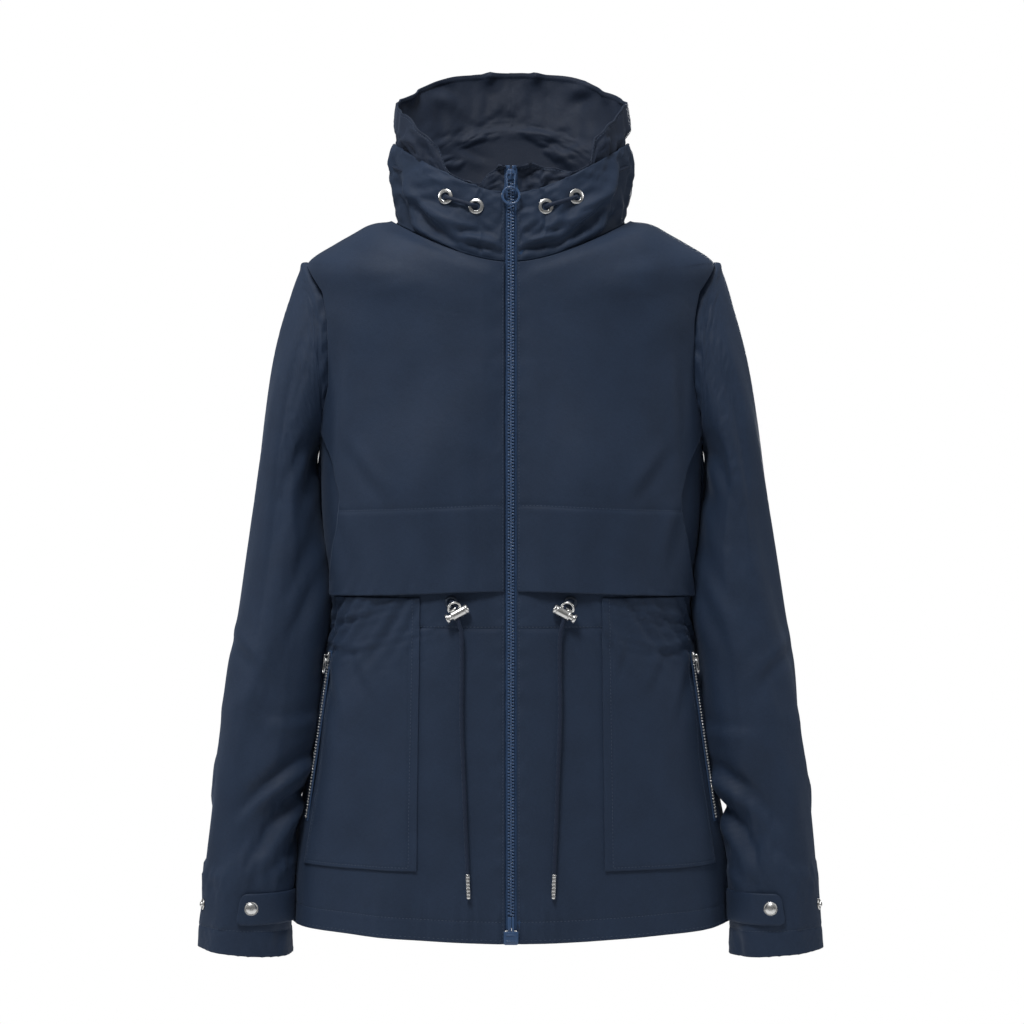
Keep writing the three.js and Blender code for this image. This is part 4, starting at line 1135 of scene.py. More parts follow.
EYELET_SPOTS = [(x, z, 9) for x, z in COLLAR_EYELETS]
STAND_FOLDS = [
    Fold([(107, 60), (99, 22), (86, -12)], 6, 4.2, True),
    Fold([(108, 44), (82, 14), (44, -18)], 6, 4.4, True),
    Fold([(92, 30), (64, 4), (30, -12)], 6.5, 3.2),
    Fold([(100, 8), (78, -14), (46, -30)], 5, 3.0, True),
    Fold([(48, -14), (30, -15), (7, -25)], 4, 3.8, True),
    Fold([(70, 12), (52, -4), (24, -6)], 5, 2.2, True),
    Fold([(46, 6), (38, -6), (34, -16)], 4, 1.2),
    Fold([(96, -2), (72, -16), (50, -26)], 5, 1.6, True),
    Fold([(28, 6), (22, -4), (10, -8)], 3.4, 1.2, True),
]


def round_columns(start_x, wide, step=3.0, fine=()):
    """Columns right round the neck from the zip to the zip."""
    half = columns_between(start_x, lambda row: np.full(np.shape(row), math.pi), step, 30, fine, wide / 2)

    def columns(row):
        count = (len(row) + 1) // 2
        left = half(row[:count])
        right = half(row[-count:][::-1])
        return np.concatenate([left, 2 * math.pi - right[::-1][1:]])

    return columns


def collar_stand():
    """The outer collar, from the neck seam up to its folded edge."""
    rows = row_lines(NECK_ROW + 0.03, FOLD_ROW, 2.4)
    lay = Layout(round_columns(FRONT_EDGE, 560, fine=(ZIP_STITCH_X,)), straight_rows(rows), 15)
    x, z = lay.x, lay.z
    up = (lay.row - NECK_ROW) / (FOLD_ROW - NECK_ROW)
    clear = clear_of(EYELET_SPOTS, x, z)
    front = smooth(np.cos(lay.angle) * 3)
    relief = 1.5 * fold_height(STAND_FOLDS, np.abs(x) + 2 * np.sign(x), z) * clear * front
    ripple = waves(signed(lay.angle), 71, (23, 31, 42))
    relief += 1.2 * ripple * bell((lay.row - CHANNEL_ROW + 0.1) / 0.7) * clear * (1 - 0.5 * front)
    relief += zip_edge_relief(np.abs(x), z) * front
    relief += groove((up - 0.02) * 75, 1.2, 2.0)
    beside = np.abs(np.sin(lay.angle)) ** 4
    rest = lay.lifted(np.clip(relief, -3, 6.5) - FUNNEL_FOLD * beside * smooth(up / 0.2))
    held = np.clip(0.12 + (up < 0.06) + bell((up - 1) / 0.05) * 0.5 + (1 - clear) * 1.2, 0, 1)
    held = np.maximum(held, (np.abs(x) < 9) & (z < 60) & (np.cos(lay.angle) > 0))
    spare = 0.07 * np.sin(math.pi * np.clip(up, 0, 1)) + 0.02
    shift = settled(rest, held, spare, 3, reach=5.0)
    along = np.clip((shift * lay.normal).sum(-1), -1.2, 4.5)
    outer = rest + lay.normal * (along * clear)[..., None]
    roll = smooth((up - 0.93) / 0.07)
    outer -= lay.normal * (0.8 * roll)[..., None]
    cloth_piece("collar_stand_cloth", outer, CLOTH * (0.9 + 0.9 * roll), "collar_stand", cut=lay.base)
    beside_zip = nearest(x[: len(x) // 2, 3], ZIP_STITCH_X)
    for column in (beside_zip, -1 - beside_zip):
        sew(outer, column, slice(None))


# The rim's height by distance from the zip: the wearer's left, then right.
RIMS = {
    1: [(5, 55), (15, 57), (40, 55), (62, 51), (74, 54), (80, 84), (90, 97), (102, 106), (112, 124)],
    -1: [(5, 54), (11, 55), (20, 50), (31, 38), (43, 40), (57, 42), (62, 56), (69, 76), (88, 94), (104, 112)],
}
FUNNEL_FOLDS = [
    Fold([(104, 108), (98, 80), (70, 50)], 8, 1.6),
    Fold([(84, 84), (70, 62), (56, 44)], 5, 1.8, True),
    Fold([(44, 48), (36, 40), (30, 30)], 4, 2.2, True),
    Fold([(22, 52), (24, 42), (20, 30)], 4, 1.6, True),
]
BACK_FOLDS = [
    Fold([(-21, 174), (-22, 166), (-23, 158)], 4.5, -6.0),
    Fold([(25, 174), (25, 166), (26, 158)], 4.5, -6.0),
    Fold([(-89, 150), (-93, 138), (-98, 126)], 5, -4.5, True),
    Fold([(92, 152), (97, 140), (100, 128)], 5, -4.5, True),
    Fold([(-82, 136), (-70, 144), (-54, 138)], 7, -5.0, True),
    Fold([(82, 140), (72, 136), (58, 142)], 7, -4.6, True),
    Fold([(-8, 110), (20, 118), (52, 104)], 6, -1.8, True),
    Fold([(-60, 96), (-44, 84), (-24, 78)], 6, -2.2, True),
    Fold([(40, 92), (60, 84), (74, 100)], 6, -2.2, True),
    Fold([(-14, 140), (-2, 150), (14, 160)], 9, -1.2),
    Fold([(-58, 130), (-50, 112), (-58, 92)], 8, -1.6, True),
]


def funnel_offset(row, angle):
    """How far the inner collar lies off the shell: inside the stand, at the fold and at the rim."""
    at_fold = -FUNNEL_FOLD
    at_rim = at_fold * np.maximum(0, np.cos(angle)) ** 2
    inside = smooth((row - CHANNEL_ROW - 0.35) / 0.6)
    below = -FUNNEL_INSET + (at_fold + FUNNEL_INSET) * inside
    return below + (at_rim - below) * smooth(row - FOLD_ROW)


def rim_row(angle):
    """The row of the funnel's rim, which dips where the cloth slumps beside the zip."""
    full = shell_point(angle, np.full(angle.shape, float(RIM_ROW)))
    length = np.linalg.norm(full - shell_point(angle, np.full(angle.shape, float(FOLD_ROW))), axis=-1)
    x, z = full[..., 0], full[..., 2]
    drop = np.zeros(angle.shape)
    for side, rim in RIMS.items():
        target = np.interp(np.abs(x), *np.array(rim, float).T)
        drop = np.where((np.sign(x) == side) & (np.cos(angle) > 0.05), np.maximum(z - target, -3), drop)
    fade = smooth((116 - np.abs(x)) / 14)
    return RIM_ROW - np.clip(drop * fade / length, -0.05, 0.92)


def funnel_rows(share):
    """Rows at shares of the way from the neck seam to the rim."""
    start = NECK_ROW + 0.06

    def rows(angle):
        top = rim_row(angle[:, -1:] if angle.shape[1] > 1 else angle)
        return start + (top - start) * share[None, :] ** 0.9

    return rows


def funnel_relief(lay, front, back):
    """The height of the inner collar's cloth before it settles."""
    x, z = lay.x, lay.z
    free = smooth((lay.row - 16.6) / 0.5)
    relief = funnel_offset(lay.row, lay.angle)
    relief += fold_height(FUNNEL_FOLDS, np.abs(x) + 3 * np.sign(x), z) * front * free
    relief += fold_height(BACK_FOLDS, x, z) * back
    gather = waves(signed(lay.angle), 81, (17, 26, 38))
    relief += (0.6 + 0.6 * front) * gather * free
    beside = np.abs(np.sin(lay.angle)) ** 4
    return relief + beside * (8.0 * smooth((lay.row - FOLD_ROW) / 0.4) - FUNNEL_FOLD)


def funnel_settled(lay, rest, front):
    """The inner collar after its spare cloth has buckled, kept inside the stand."""
    x, row = lay.x, lay.row
    held = 0.05 + (row < 15.2) + 0.5 * bell((row - FOLD_ROW) / 0.2) * front
    held = np.maximum(held, (np.abs(x) < 7) & (np.cos(lay.angle) > 0))
    spare = 0.03 + 0.09 * smooth((row - 15.5) / 1.0) * bell((row - 17.2) / 1.1)
    shift = settled(rest, np.clip(held, 0, 1), spare, 5, reach=7.0, bending=0.3)
    along = (shift * lay.normal).sum(-1)
    along = np.clip(along, -6, np.where(row < FOLD_ROW, 0.8 * front - 0.2, 4.0))
    return rest + lay.normal * along[..., None]


FUNNEL_HIGH, RIM_SEAM = 150.0, 3.5


def collar_funnel():
    """The inner collar, which stands up above the fold as a funnel."""
    share = lines(0, FUNNEL_HIGH, 2.4, fine=(FUNNEL_HIGH - RIM_SEAM,)) / FUNNEL_HIGH
    lay = Layout(round_columns(FRONT_EDGE, 640), funnel_rows(share), 17)
    front, back = smooth(np.cos(lay.angle) * 3), smooth(-np.cos(lay.angle) * 3)
    outer = funnel_settled(lay, lay.lifted(funnel_relief(lay, front, back)), front)
    from_rim = (1 - share)[None, :] * FUNNEL_HIGH
    outer -= lay.normal * (0.35 * bell((from_rim - RIM_SEAM) / 1.0))[..., None]
    above_fold = smooth((lay.row - FOLD_ROW) / (RIM_ROW - FOLD_ROW))
    full = 11.5 * bell((np.abs(lay.x) - 72) / 38) * back * above_fold
    outer = outer + full[..., None] * (0, 0, 1)
    thick = 0.9 + 0.8 * (from_rim < RIM_SEAM)
    cloth_piece("collar_funnel_cloth", outer, thick, "collar_funnel", cut=lay.base, lining=True)
    seam = nearest(share * FUNNEL_HIGH, FUNNEL_HIGH - RIM_SEAM)
    normals = grid_normals(outer)[3:-3, seam]
    stitch("jacket_shell", outer[3:-3, seam], normals)
    stitch("jacket_shell", outer[3:-3, seam] - normals * 1.0, -normals)


# ---------------------------------------------------------------- sleeves


def sleeve_point(ring, phi):
    """The sleeve's surface by ring and by angle round it, from the outer side towards the back."""
    ring, phi = np.broadcast_arrays(np.asarray(ring, float), phi)
    ox, oz, ix, iz, centre_y, half_depth, bow = np.moveaxis(between(SLEEVE_RINGS, ring), -1, 0)
    x = (ox + ix) / 2 + (ox - ix) / 2 * np.cos(phi) - bow * np.sin(phi) ** 2
    y = centre_y + half_depth * np.sin(phi)
    return np.stack([x, y, (oz + iz) / 2 + (oz - iz) / 2 * np.cos(phi)], -1)


def root_ring(phi):
    """Where the sleeve meets the armhole seam, by angle round the sleeve."""
    low, high = np.zeros(phi.shape), np.full(phi.shape, 3.0)
    for _ in range(30):
        middle = (low + high) / 2
        p = sleeve_point(middle, phi)
        inside = (p[..., 0] < line_x(ARMHOLE, p[..., 2]) + 0.3) & (p[..., 2] > -205.4)
        low, high = np.where(inside, middle, low), np.where(inside, high, middle)
    return high


SLEEVE_FOLDS = [
    Fold([(188, -510), (218, -526), (258, -568)], 8, 8.0, True),
    Fold([(194, -544), (212, -560), (234, -600)], 7, 7.5, True),
    Fold([(184, -470), (205, -480), (236, -474)], 8, 2.6, True),
    Fold([(206, -600), (218, -616), (238, -628)], 5, 2.6, True),
    Fold([(278, -390), (252, -408), (222, -446)], 9, 2.8, True),
    Fold([(286, -470), (262, -470), (240, -440)], 11, 1.8),
    Fold([(184, -300), (196, -330), (216, -376)], 9, 2.6, True),
    Fold([(182, -330), (190, -372), (208, -404)], 8, 2.2, True),
    Fold([(182, -212), (192, -240), (200, -292)], 6, 3.4, True),
    Fold([(188, -205), (204, -226), (214, -262)], 6, 2.4, True),
    Fold([(214, -60), (228, -160), (238, -280)], 18, 2.2),
    Fold([(200, -200), (216, -250), (224, -330)], 11, -2.4),
    Fold([(288, -500), (272, -540), (262, -600)], 11, 2.2),
    Fold([(218, -668), (222, -680), (220, -699)], 4, -2.0),
    Fold([(280, -600), (270, -640), (276, -690)], 9, 1.4),
]
SLEEVE_BACK_FOLDS = [
    Fold([(190, -500), (226, -515), (270, -500)], 9, 2.6, True),
    Fold([(188, -440), (222, -452), (262, -440)], 9, 2.0, True),
    Fold([(190, -240), (214, -262), (240, -250)], 9, 1.8, True),
    Fold([(215, -120), (232, -240), (240, -380)], 22, 1.8),
]
TAB_SPOTS = [(249, -650, 22), (298, -650, 16), (220, -650, 24)]
CUFF_STITCH = 22.0
SLEEVE_COLUMNS, SLEEVE_LONG = 118, 680.0


class SleeveCloth:
    """A sleeve's grid of cloth: columns round it, and rows from the cuff up to the armhole."""

    def __init__(self, side):
        self.side = side
        self.phi = (np.arange(SLEEVE_COLUMNS) * 2 * math.pi / SLEEVE_COLUMNS)[:, None]
        self.rows = lines(0, SLEEVE_LONG, 4.0, fine=(CUFF_STITCH,)) / SLEEVE_LONG
        ring = LAST_RING + (root_ring(self.phi) - LAST_RING) * self.rows[None, :]
        self.base = sleeve_point(ring, self.phi)
        self.normal = grid_normals(self.base, wrap_u=True)
        self.x, self.z = self.base[..., 0], self.base[..., 2]
        self.above_cuff = self.rows[None, :] * SLEEVE_LONG + 0 * self.x
        self.below_root = SLEEVE_LONG - self.above_cuff
        flat = clear_of(TAB_SPOTS, self.x, self.z) + (np.sin(self.phi) > 0.3)
        self.clear = np.clip(flat, 0, 1)

    def relief(self):
        """The height of the cloth before it settles: folds, seams and the gathered sleeve head."""
        front, back = (smooth(0.5 + facing * 1.4 * np.sin(self.phi)) for facing in (-1, 1))
        relief = fold_height(SLEEVE_FOLDS, self.x + 2 * self.side, self.z + 5 * self.side) * front
        relief += fold_height(SLEEVE_BACK_FOLDS, self.x, self.z) * back
        twist = waves(self.phi + self.z / 210, 91 + self.side, (3, 5, 7))
        relief += 1.5 * twist * smooth(self.below_root / 200)
        relief *= self.clear
        relief -= 0.9 * bell(self.below_root / 3.0)
        gather = waves(self.phi, 95, (27, 38)) * bell((self.below_root - 12) / 9)
        relief += 0.8 * gather * smooth((-20 - self.z) / 30)
        return relief + groove(self.above_cuff - CUFF_STITCH, 0.5, 1.2)

    def buckled(self, rest):
        """How far out the spare cloth buckles, less on the side that lies against the body."""
        sewn = (self.below_root < 9) + smooth((90 - self.above_cuff) / 50) * 0.9
        held = np.clip(0.06 + sewn + (1 - self.clear), 0, 1)
        spare = 0.015 + 0.035 * bell((self.z + 500) / 130) + 0.03 * bell(self.below_root / 70)
        shift = settled(rest, held, spare, 7 + self.side, reach=7.0)
        toward_body = smooth(-np.cos(self.phi) * 2) * smooth((-180 - self.z) / 40)
        least = -6 + 4.5 * smooth(np.cos(self.phi) * 2)
        along = np.clip((shift * self.normal).sum(-1), least, 5 - 4.2 * toward_body)
        return along * (1 - smooth((60 - self.below_root) / 40) * smooth((self.z + 110) / 60))

    def finished(self):
        """The outer points, drawn in against the body below the underarm and full at the sleeve head."""
        rest = self.base + self.normal * self.relief()[..., None]
        outer = rest + self.normal * self.buckled(rest)[..., None]
        snug = bell((self.phi + 150 * DEG) / (38 * DEG)) + bell((self.phi - 210 * DEG) / (38 * DEG))
        drawn_in = 3.0 * snug * smooth((-215 - self.z) / 30) * smooth((self.z + 648) / 14)
        outer = outer - drawn_in[..., None] * (1, 0, 0)
        crown = 2.2 * bell((self.below_root - 24) / 18) * smooth((self.z + 110) / 50)
        return outer + self.normal * crown[..., None]


def sleeve(name, side):
    cloth = SleeveCloth(side)
    outer = cloth.finished()
    thick = CLOTH + 1.0 * (cloth.above_cuff < CUFF_STITCH)
    made = cloth_piece(f"sleeve_cloth_{name}", outer, thick, f"sleeve_{name}", side, rides=False, wrap=True,
                       cut=cloth.base)
    blend_sleeve(made, name, side)
    seam = nearest(cloth.rows * SLEEVE_LONG, CUFF_STITCH)
    round_cuff = np.arange(SLEEVE_COLUMNS + 1) % SLEEVE_COLUMNS
    around = grid_normals(outer, wrap_u=True)
    stitch(f"sleeve_{name}", outer[round_cuff, seam], around[round_cuff, seam], side)


def blend_sleeve(piece, name, side):
    """Bakes the sleeve's place into its mesh; the armhole and forearm points are worked out but not used."""
    start, end = (187 * side, 0, -175), (325 * side, 0, -540)
    Vector(start) * MM
    Vector(end) * MM
    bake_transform(piece)


# ---------------------------------------------------------------- places on the body


def frame_of(x, y, z, origin):
    """The matrix of a place with these directions."""
    matrix = np.eye(4)
    matrix[:3] = np.stack([x, y, z, origin], axis=1)
    return matrix


def moved(points, matrix):
    return np.asarray(points, float) @ matrix[:3, :3].T + matrix[:3, 3]


def shell_frame(angle, row, offset=0.0):
    """Origin at the surface, z outwards, x round the body away from the zip."""
    z = shell_normal(angle, row)
    x = shell_point(angle + 1e-3, row) - shell_point(angle - 1e-3, row)
    x = unit(x - z * (x @ z)) * (-1 if angle < 0 else 1)
    return frame_of(x, np.cross(z, x), z, shell_point(angle, row) + z * offset)


def place_at(x, z):
    """The frame of the point on the front at a given x and height."""
    angle = math.atan2(x, -zip_y(z))
    for _ in range(6):
        p = shell_point(np.array(angle), row_at(angle, z))
        angle += (x - p[0]) / math.hypot(p[0], p[1])
    return shell_frame(np.array(angle), row_at(angle, z))


def cut_with(form, *tools):
    """The form with the tools taken out of it."""
    solid = mesh_object("whole", form, None)
    cutters = [mesh_object("cutter", tool, None) for tool in tools]
    for cutter in cutters:
        change = solid.modifiers.new("cut", "BOOLEAN")
        change.object = cutter
        change.solver = "EXACT"
    bpy.context.view_layer.update()
    done = bpy.data.meshes.new_from_object(solid.evaluated_get(bpy.context.evaluated_depsgraph_get()))
    bm = bmesh.new()
    bm.from_mesh(done)
    bmesh.ops.scale(bm, vec=(1 / MM,) * 3, verts=bm.verts[:])
    bmesh.ops.remove_doubles(bm, verts=bm.verts[:], dist=0.002)
    for made in [solid, *cutters]:
        bpy.data.objects.remove(made)
    bpy.data.meshes.remove(done)
    return from_bmesh(bm)


def rod(a, b, radius):
    return tube(np.linspace(np.array(a, float), np.array(b, float), 3), radius, 20)


# ---------------------------------------------------------------- eyelets and captured cords

EYELETS = {"collar": (7.5, 3.9, 4.4), "waist": (6.2, 3.6, 4.0)}


def eyelet(kind):
    """A pressed ring with a rolled lip round its hole."""
    ring, hole, barrel = EYELETS[kind]
    profile = [
        (hole, -1.5),
        (barrel, -1.5),
        (barrel, 0.4),
        (ring, 0.4),
        (ring - 0.4, 1.0),
        (hole + 1.4, 1.5),
        (hole + 0.4, 1.5),
        (hole, 1.0),
    ]
    return lathe(rounded(profile, 0.4, 3, closed=True), 56)


COLLAR_PLACES = {
    f"{name}_{spot}": place_at(side * x, z)
    for name, side in SIDES
    for spot, (x, z) in zip(("inner", "outer"), COLLAR_EYELETS)
}
WAIST_PLACE = place_at(*WAIST_EYELET)
# A cord's way through an eyelet: distance across it, and height over the cloth.
THROUGH = np.array([(-5.6, -4.1), (-2.9, -3.7), (-1.0, -1.9), (1.0, 1.9), (2.8, 3.3), (5.4, 3.7)])


def through_eyelet(place, direction):
    """The cord's way through an eyelet, from behind the cloth on one side to the front on the other."""
    points = np.stack([THROUGH[:, 0] * direction, 0 * THROUGH[:, 0], THROUGH[:, 1]], -1)
    return moved(points, place)


def smooth_path(points, step):
    """A smooth curve through the points, evenly stepped."""
    fine = between(np.asarray(points, float), np.linspace(0, len(points) - 1, len(points) * 12))
    return resampled(fine, step)


def braid(points, radius=CORD_R, strands=5, lay=7.0, step=0.7, sides=20):
    """A round braided cord: strands cross each way round it."""
    path = smooth_path(points, step)
    along = arc_length(path)[:, None] * 2 * math.pi / lay
    turn = np.arange(sides) * 2 * math.pi / sides
    one, other = np.cos(strands * turn + along), np.cos(strands * turn - along)
    thick = radius * (0.965 + 0.055 * np.maximum(one, other))
    return tube(path, thick, sides), path


def collar_cord():
    """The collar cord: out and in through two eyelets on each side, and round the back in its channel."""
    places = COLLAR_PLACES
    start = lambda name: moved([(-10, 0, -CHANNEL_DEPTH)], places[name])
    angles = np.linspace(47, 313, 29) * DEG
    channel = on_shell(angles, np.full(29, CHANNEL_ROW + 0.1), np.full(29, -CHANNEL_DEPTH))
    points = [
        start("left_inner"),
        through_eyelet(places["left_inner"], 1),
        through_eyelet(places["left_outer"], -1)[::-1],
        channel,
        through_eyelet(places["right_outer"], -1),
        through_eyelet(places["right_inner"], 1)[::-1],
        start("right_inner"),
    ]
    form, _ = braid(np.concatenate(points))
    shown("collar_cord", form, CORD, replaces=["collar_drawcord"])


def waist_cord_inside():
    """The waist cord in its casing, from one eyelet round the back to the other."""
    count = 20

    def half(side):
        angles = np.linspace(math.pi, 38 * DEG, count)
        heights = -367 + 5 * smooth((np.arange(count) - 12) / 7)
        line = on_shell(angles, row_at(angles, heights), np.full(count, -CASING_DEPTH))
        leave = moved([(8, 0, -CASING_DEPTH), (4.3, 0, -4.2), (0.9, 0, -2.3), (-0.5, 0, 1.3)], WAIST_PLACE)
        return np.concatenate([line, leave]) * (side, 1, 1)

    whole = np.concatenate([half(1)[::-1], half(-1)[1:]])
    form, _ = braid(whole, step=1.2, sides=14)
    shown("waist_cord_inside", form, CORD, replaces=["waist_drawcord"])


# ---------------------------------------------------------------- waist cord ends and their locks

CORD_TOP = np.array((50.6, -116.4, -360))
CORD_FOOT = np.array((40.5, -125.6, -610))
CORD_DOWN = unit(CORD_FOOT - CORD_TOP)
LOCK_Z, LOCK_TILT, LOCK_RADIUS = -367.5, 28 * DEG, 4.6
LOOP_RADIUS, LOOP_WIRE = 5.9, 1.1
CORD_HEIGHTS = [-361.5, -366, -371, -378, -386, -400, -425, -450, -475, -500, -525, -550, -575, -595]


def along_cord(z):
    return CORD_TOP + CORD_DOWN * (z - CORD_TOP[2]) / CORD_DOWN[2]


def cord_bend(z):
    """The cord leaves the lock a little towards the zip before it hangs straight."""
    return 3.2 * smooth((-371 - z) / 14) * (1 - smooth((-392 - z) / 84))


def lock_frame():
    barrel = np.array((-math.cos(LOCK_TILT), 0, math.sin(LOCK_TILT)))
    loop = np.cross(barrel, (0, -1, 0))
    return frame_of(np.cross(loop, barrel), loop, barrel, along_cord(LOCK_Z))


def cord_hole(radius, shifts=(0,)):
    """Rods to drill the cord's hole with, shifted along the barrel to make a slot."""
    barrel = lock_frame()[:3, 2]
    for shift in shifts:
        middle = along_cord(LOCK_Z) + barrel * shift
        yield rod(middle - CORD_DOWN * 14, middle + CORD_DOWN * 14, radius)


def lock_body():
    """A closed barrel with a grooved head, and a wire loop on its side."""
    high, low, r = 11.6, -5.5, LOCK_RADIUS
    profile = [(0, high), (r - 0.9, high), (r, high - 0.9), (r, high - 2.4), (r - 0.35, high - 2.8),
               (r - 0.35, high - 3.4), (r, high - 3.8), (r, low + 1.6), (r + 0.25, low + 1.3),
               (r + 0.25, low + 0.3), (r - 0.3, low), (3.6, low), (3.6, 9.8), (0, 9.8)]
    barrel = lathe(rounded(profile, 0.35, 3), 56)
    base = r + 0.6
    turn = np.linspace(0, math.pi, 33)
    loop = LOOP_RADIUS * np.stack([0.3 * np.sin(turn), np.sin(turn), np.cos(turn)], -1) + (0, base, 0)
    foot = rod((0, base, -LOOP_RADIUS), (0, base, LOOP_RADIUS), LOOP_WIRE)
    drilled = cut_with(barrel.placed(lock_frame()), *cord_hole(2.5))
    return joined([drilled, foot.placed(lock_frame()), tube(loop, LOOP_WIRE, 18).placed(lock_frame())])


def lock_plunger():
    """The button that is pressed to free the cord, with a slot for it through the stem."""
    profile = [(0, -11.8), (2.8, -11.9), (4.1, -11.6), (4.7, -10.9), (4.7, -9.4), (4.3, -8.7), (3.2, -8.6),
               (3.2, 5.4), (0, 5.4)]
    stem = lathe(rounded(profile, 0.35, 3), 56).placed(lock_frame())
    return cut_with(stem, *cord_hole(2.4, (0, -1.3, -2.7)))


def cord_tip():
    """A pressed metal end with fine rings."""
    start, end = CORD_FOOT + CORD_DOWN * 0.3, CORD_FOOT + CORD_DOWN * 23.5
    path = resampled(np.array([start, end]), 0.22)
    s = arc_length(path)
    size = 2.1 - 0.22 * bell((((s - 1.6) % 3.2) - 1.6) / 0.35)
    near_end = np.minimum(s, s[-1] - s)
    size = size - 0.7 * bell(near_end / 0.45)
    return tube(path, size, 24)


def waist_cord_end(name, side):
    mouth = moved([(-1.05, 0, 1.65), (-2.6, 0, 4.0)], WAIST_PLACE)
    straight = [along_cord(z) - (cord_bend(z), 0, 0) for z in CORD_HEIGHTS]
    points = np.concatenate([mouth, straight, [CORD_FOOT]]) * (side, 1, 1)
    form, path = braid(points)
    cord = shown(f"waist_cord_end_{name}", form, CORD, replaces=[f"waist_cord_{name}"])
    tip = shown(f"cord_end_{name}", cord_tip().on_side(side), METAL,
                replaces=[f"cord_tip_{name}"])
    arc_length(path)[-1] * MM


def cord_lock(name, side):
    shown(f"lock_barrel_{name}", lock_body().on_side(side), METAL, f"cord_lock_{name}",
          [f"cord_lock_body_{name}"])
    shown(f"lock_plunger_{name}", lock_plunger().on_side(side), METAL,
          f"cord_lock_plunger_{name}", [f"cord_lock_plunger_{name}"])


def lock_spring(name):
    """The spring, hidden in the barrel, stays as the CAD made it and gets the trim's metal."""
    spring = frame["nodes"][f"cord_lock_spring_{name}"]
    spring.data.materials.clear()
    spring.data.materials.append(METAL)


# ---------------------------------------------------------------- main zip

ZIP_FRAME = np.array(Matrix.Translation((0, ZIP_Y, 0)) @ Matrix.Rotation(-math.atan(ZIP_SLOPE), 4, "X"))
TOOTH_PITCH = 3.0
CHAIN = (-650.5, 52)
RING_MEAN, RING_WIRE, RING_Y, RING_Z, EYE_X = 7.9, 1.2, -5.3, 26.3, 3.4
RING_HINGE_Z = RING_Z + math.sqrt(RING_MEAN**2 - EYE_X**2)


def in_zip(form):
    """A form drawn with the zip's middle plane at y = 0, put on the sloping front."""
    return form.placed(ZIP_FRAME)


def tooth():
    """One moulded tooth: a broad foot on the tape, a waist and a round head past the middle."""
    outline = [(3.1, -0.95), (2.0, -0.95), (0.9, -0.5), (-0.1, -0.68), (-1.0, -0.5), (-1.25, 0), (-1.0, 0.5),
               (-0.1, 0.68), (0.9, 0.5), (2.0, 0.95), (3.1, 0.95)]
    return slab(outline, -0.65, 1.3, 0.18, 1)


def repeated(form, places):
    return joined([form.placed(Matrix.Translation(p)) for p in places])


def zip_teeth(name, side):
    """One side's row of teeth and its top stop; the rows are half a pitch apart."""
    first = CHAIN[0] + (1.2 if side > 0 else 1.2 + TOOTH_PITCH / 2)
    heights = np.arange(first, CHAIN[1] - 1, TOOTH_PITCH)
    chain = repeated(tooth(), [(0, 0, z) for z in heights]).on_side(side)
    shown(f"teeth_{name}", in_zip(chain), BLUE, replaces=[f"zip_teeth_{name}"])
    stop = block((1.0, -0.8, 52.4), (3.6, 1.25, 55.6), 0.4, 3).on_side(side)
    shown(f"top_stop_{name}", in_zip(stop), BLUE, replaces=[f"zip_top_stop_{name}"])


def zip_tape(name, side):
    """Woven tape with a thick cord at the teeth and fine ribs."""
    inner, outer_edge = 1.3, 12
    z = lines(-664, ZIP_TOP, 6.0)[None, :]
    reach = outer_edge - 6 * smooth((z - 24) / 12)
    share = (lines(inner, outer_edge, 0.55)[:, None] - inner) / (outer_edge - inner)
    x = inner + (reach - inner) * share
    rib = 0.12 * np.cos(x * 2 * math.pi / 1.6) + 0.35 * bell((x - 3.4) / 0.7)
    outer = np.stack([x + 0 * z, 1.75 - rib + 0 * z, z + 0 * x], -1)
    outer = moved(outer.reshape(-1, 3), ZIP_FRAME).reshape(outer.shape)
    form = sheet_form(outer, 0.5).on_side(side)
    shown(f"tape_{name}", form, TAPE, replaces=[f"zip_tape_{name}"])


def zip_slider():
    """Two plates round the teeth, a post between them, side flanges and the bridge for the link."""
    top = [(-2.6, 52), (2.6, 52), (4.2, 49.6), (4.2, 43.4), (2.9, 42), (-2.9, 42), (-4.2, 43.4), (-4.2, 49.6)]
    parts = [slab(top, -2.3, -1.0, 0.35, 3), slab(top, 3.0, 4.1, 0.35, 3)]
    parts.append(block((-0.8, -2, 49.6), (0.8, 3.9, 51.8), 0.25))
    for side in (1, -1):
        parts.append(block((3.5, -2.2, 42.6), (4.2, 1.0, 50.2), 0.25).on_side(side))
    bridge = np.array([(0, -2.0, 44.2), (0, -4.4, 44.6), (0, -5.1, 46), (0, -5.1, 49), (0, -4.4, 50.3),
                       (0, -2.0, 50.6)])
    parts.append(tube(smooth_path(bridge, 0.5), 0.75, 14))
    shown("slider_body", in_zip(joined(parts)), BLUE, "zip_slider", ["zip_slider"])


def zip_link():
    """A bar under the bridge, and two arms down to the eyes that hold the ring."""
    bar_y, bar_z, half = -3.4, 47.5, 3.9
    parts = [rod((-half - 0.6, bar_y, bar_z), (half + 0.6, bar_y, bar_z), 0.6)]
    for side in (1, -1):
        path = [(half, bar_y, bar_z), (half - 0.1, -4.3, 43), (EYE_X, RING_Y, RING_HINGE_Z + 2.5)]
        parts.append(tube(smooth_path(path, 0.8), 0.75, 14).on_side(side))
        eye = ring_path(2.6, (0, 0, 0), 28)
        eye = np.stack([side * EYE_X + 0 * eye[:, 0], RING_Y + eye[:, 0], RING_HINGE_Z + eye[:, 2]], -1)
        parts.append(tube(eye, 0.42, 10, closed=True))
    shown("pull_link", in_zip(joined(parts)), BLUE, "zip_pull_link", ["zip_pull_link"])


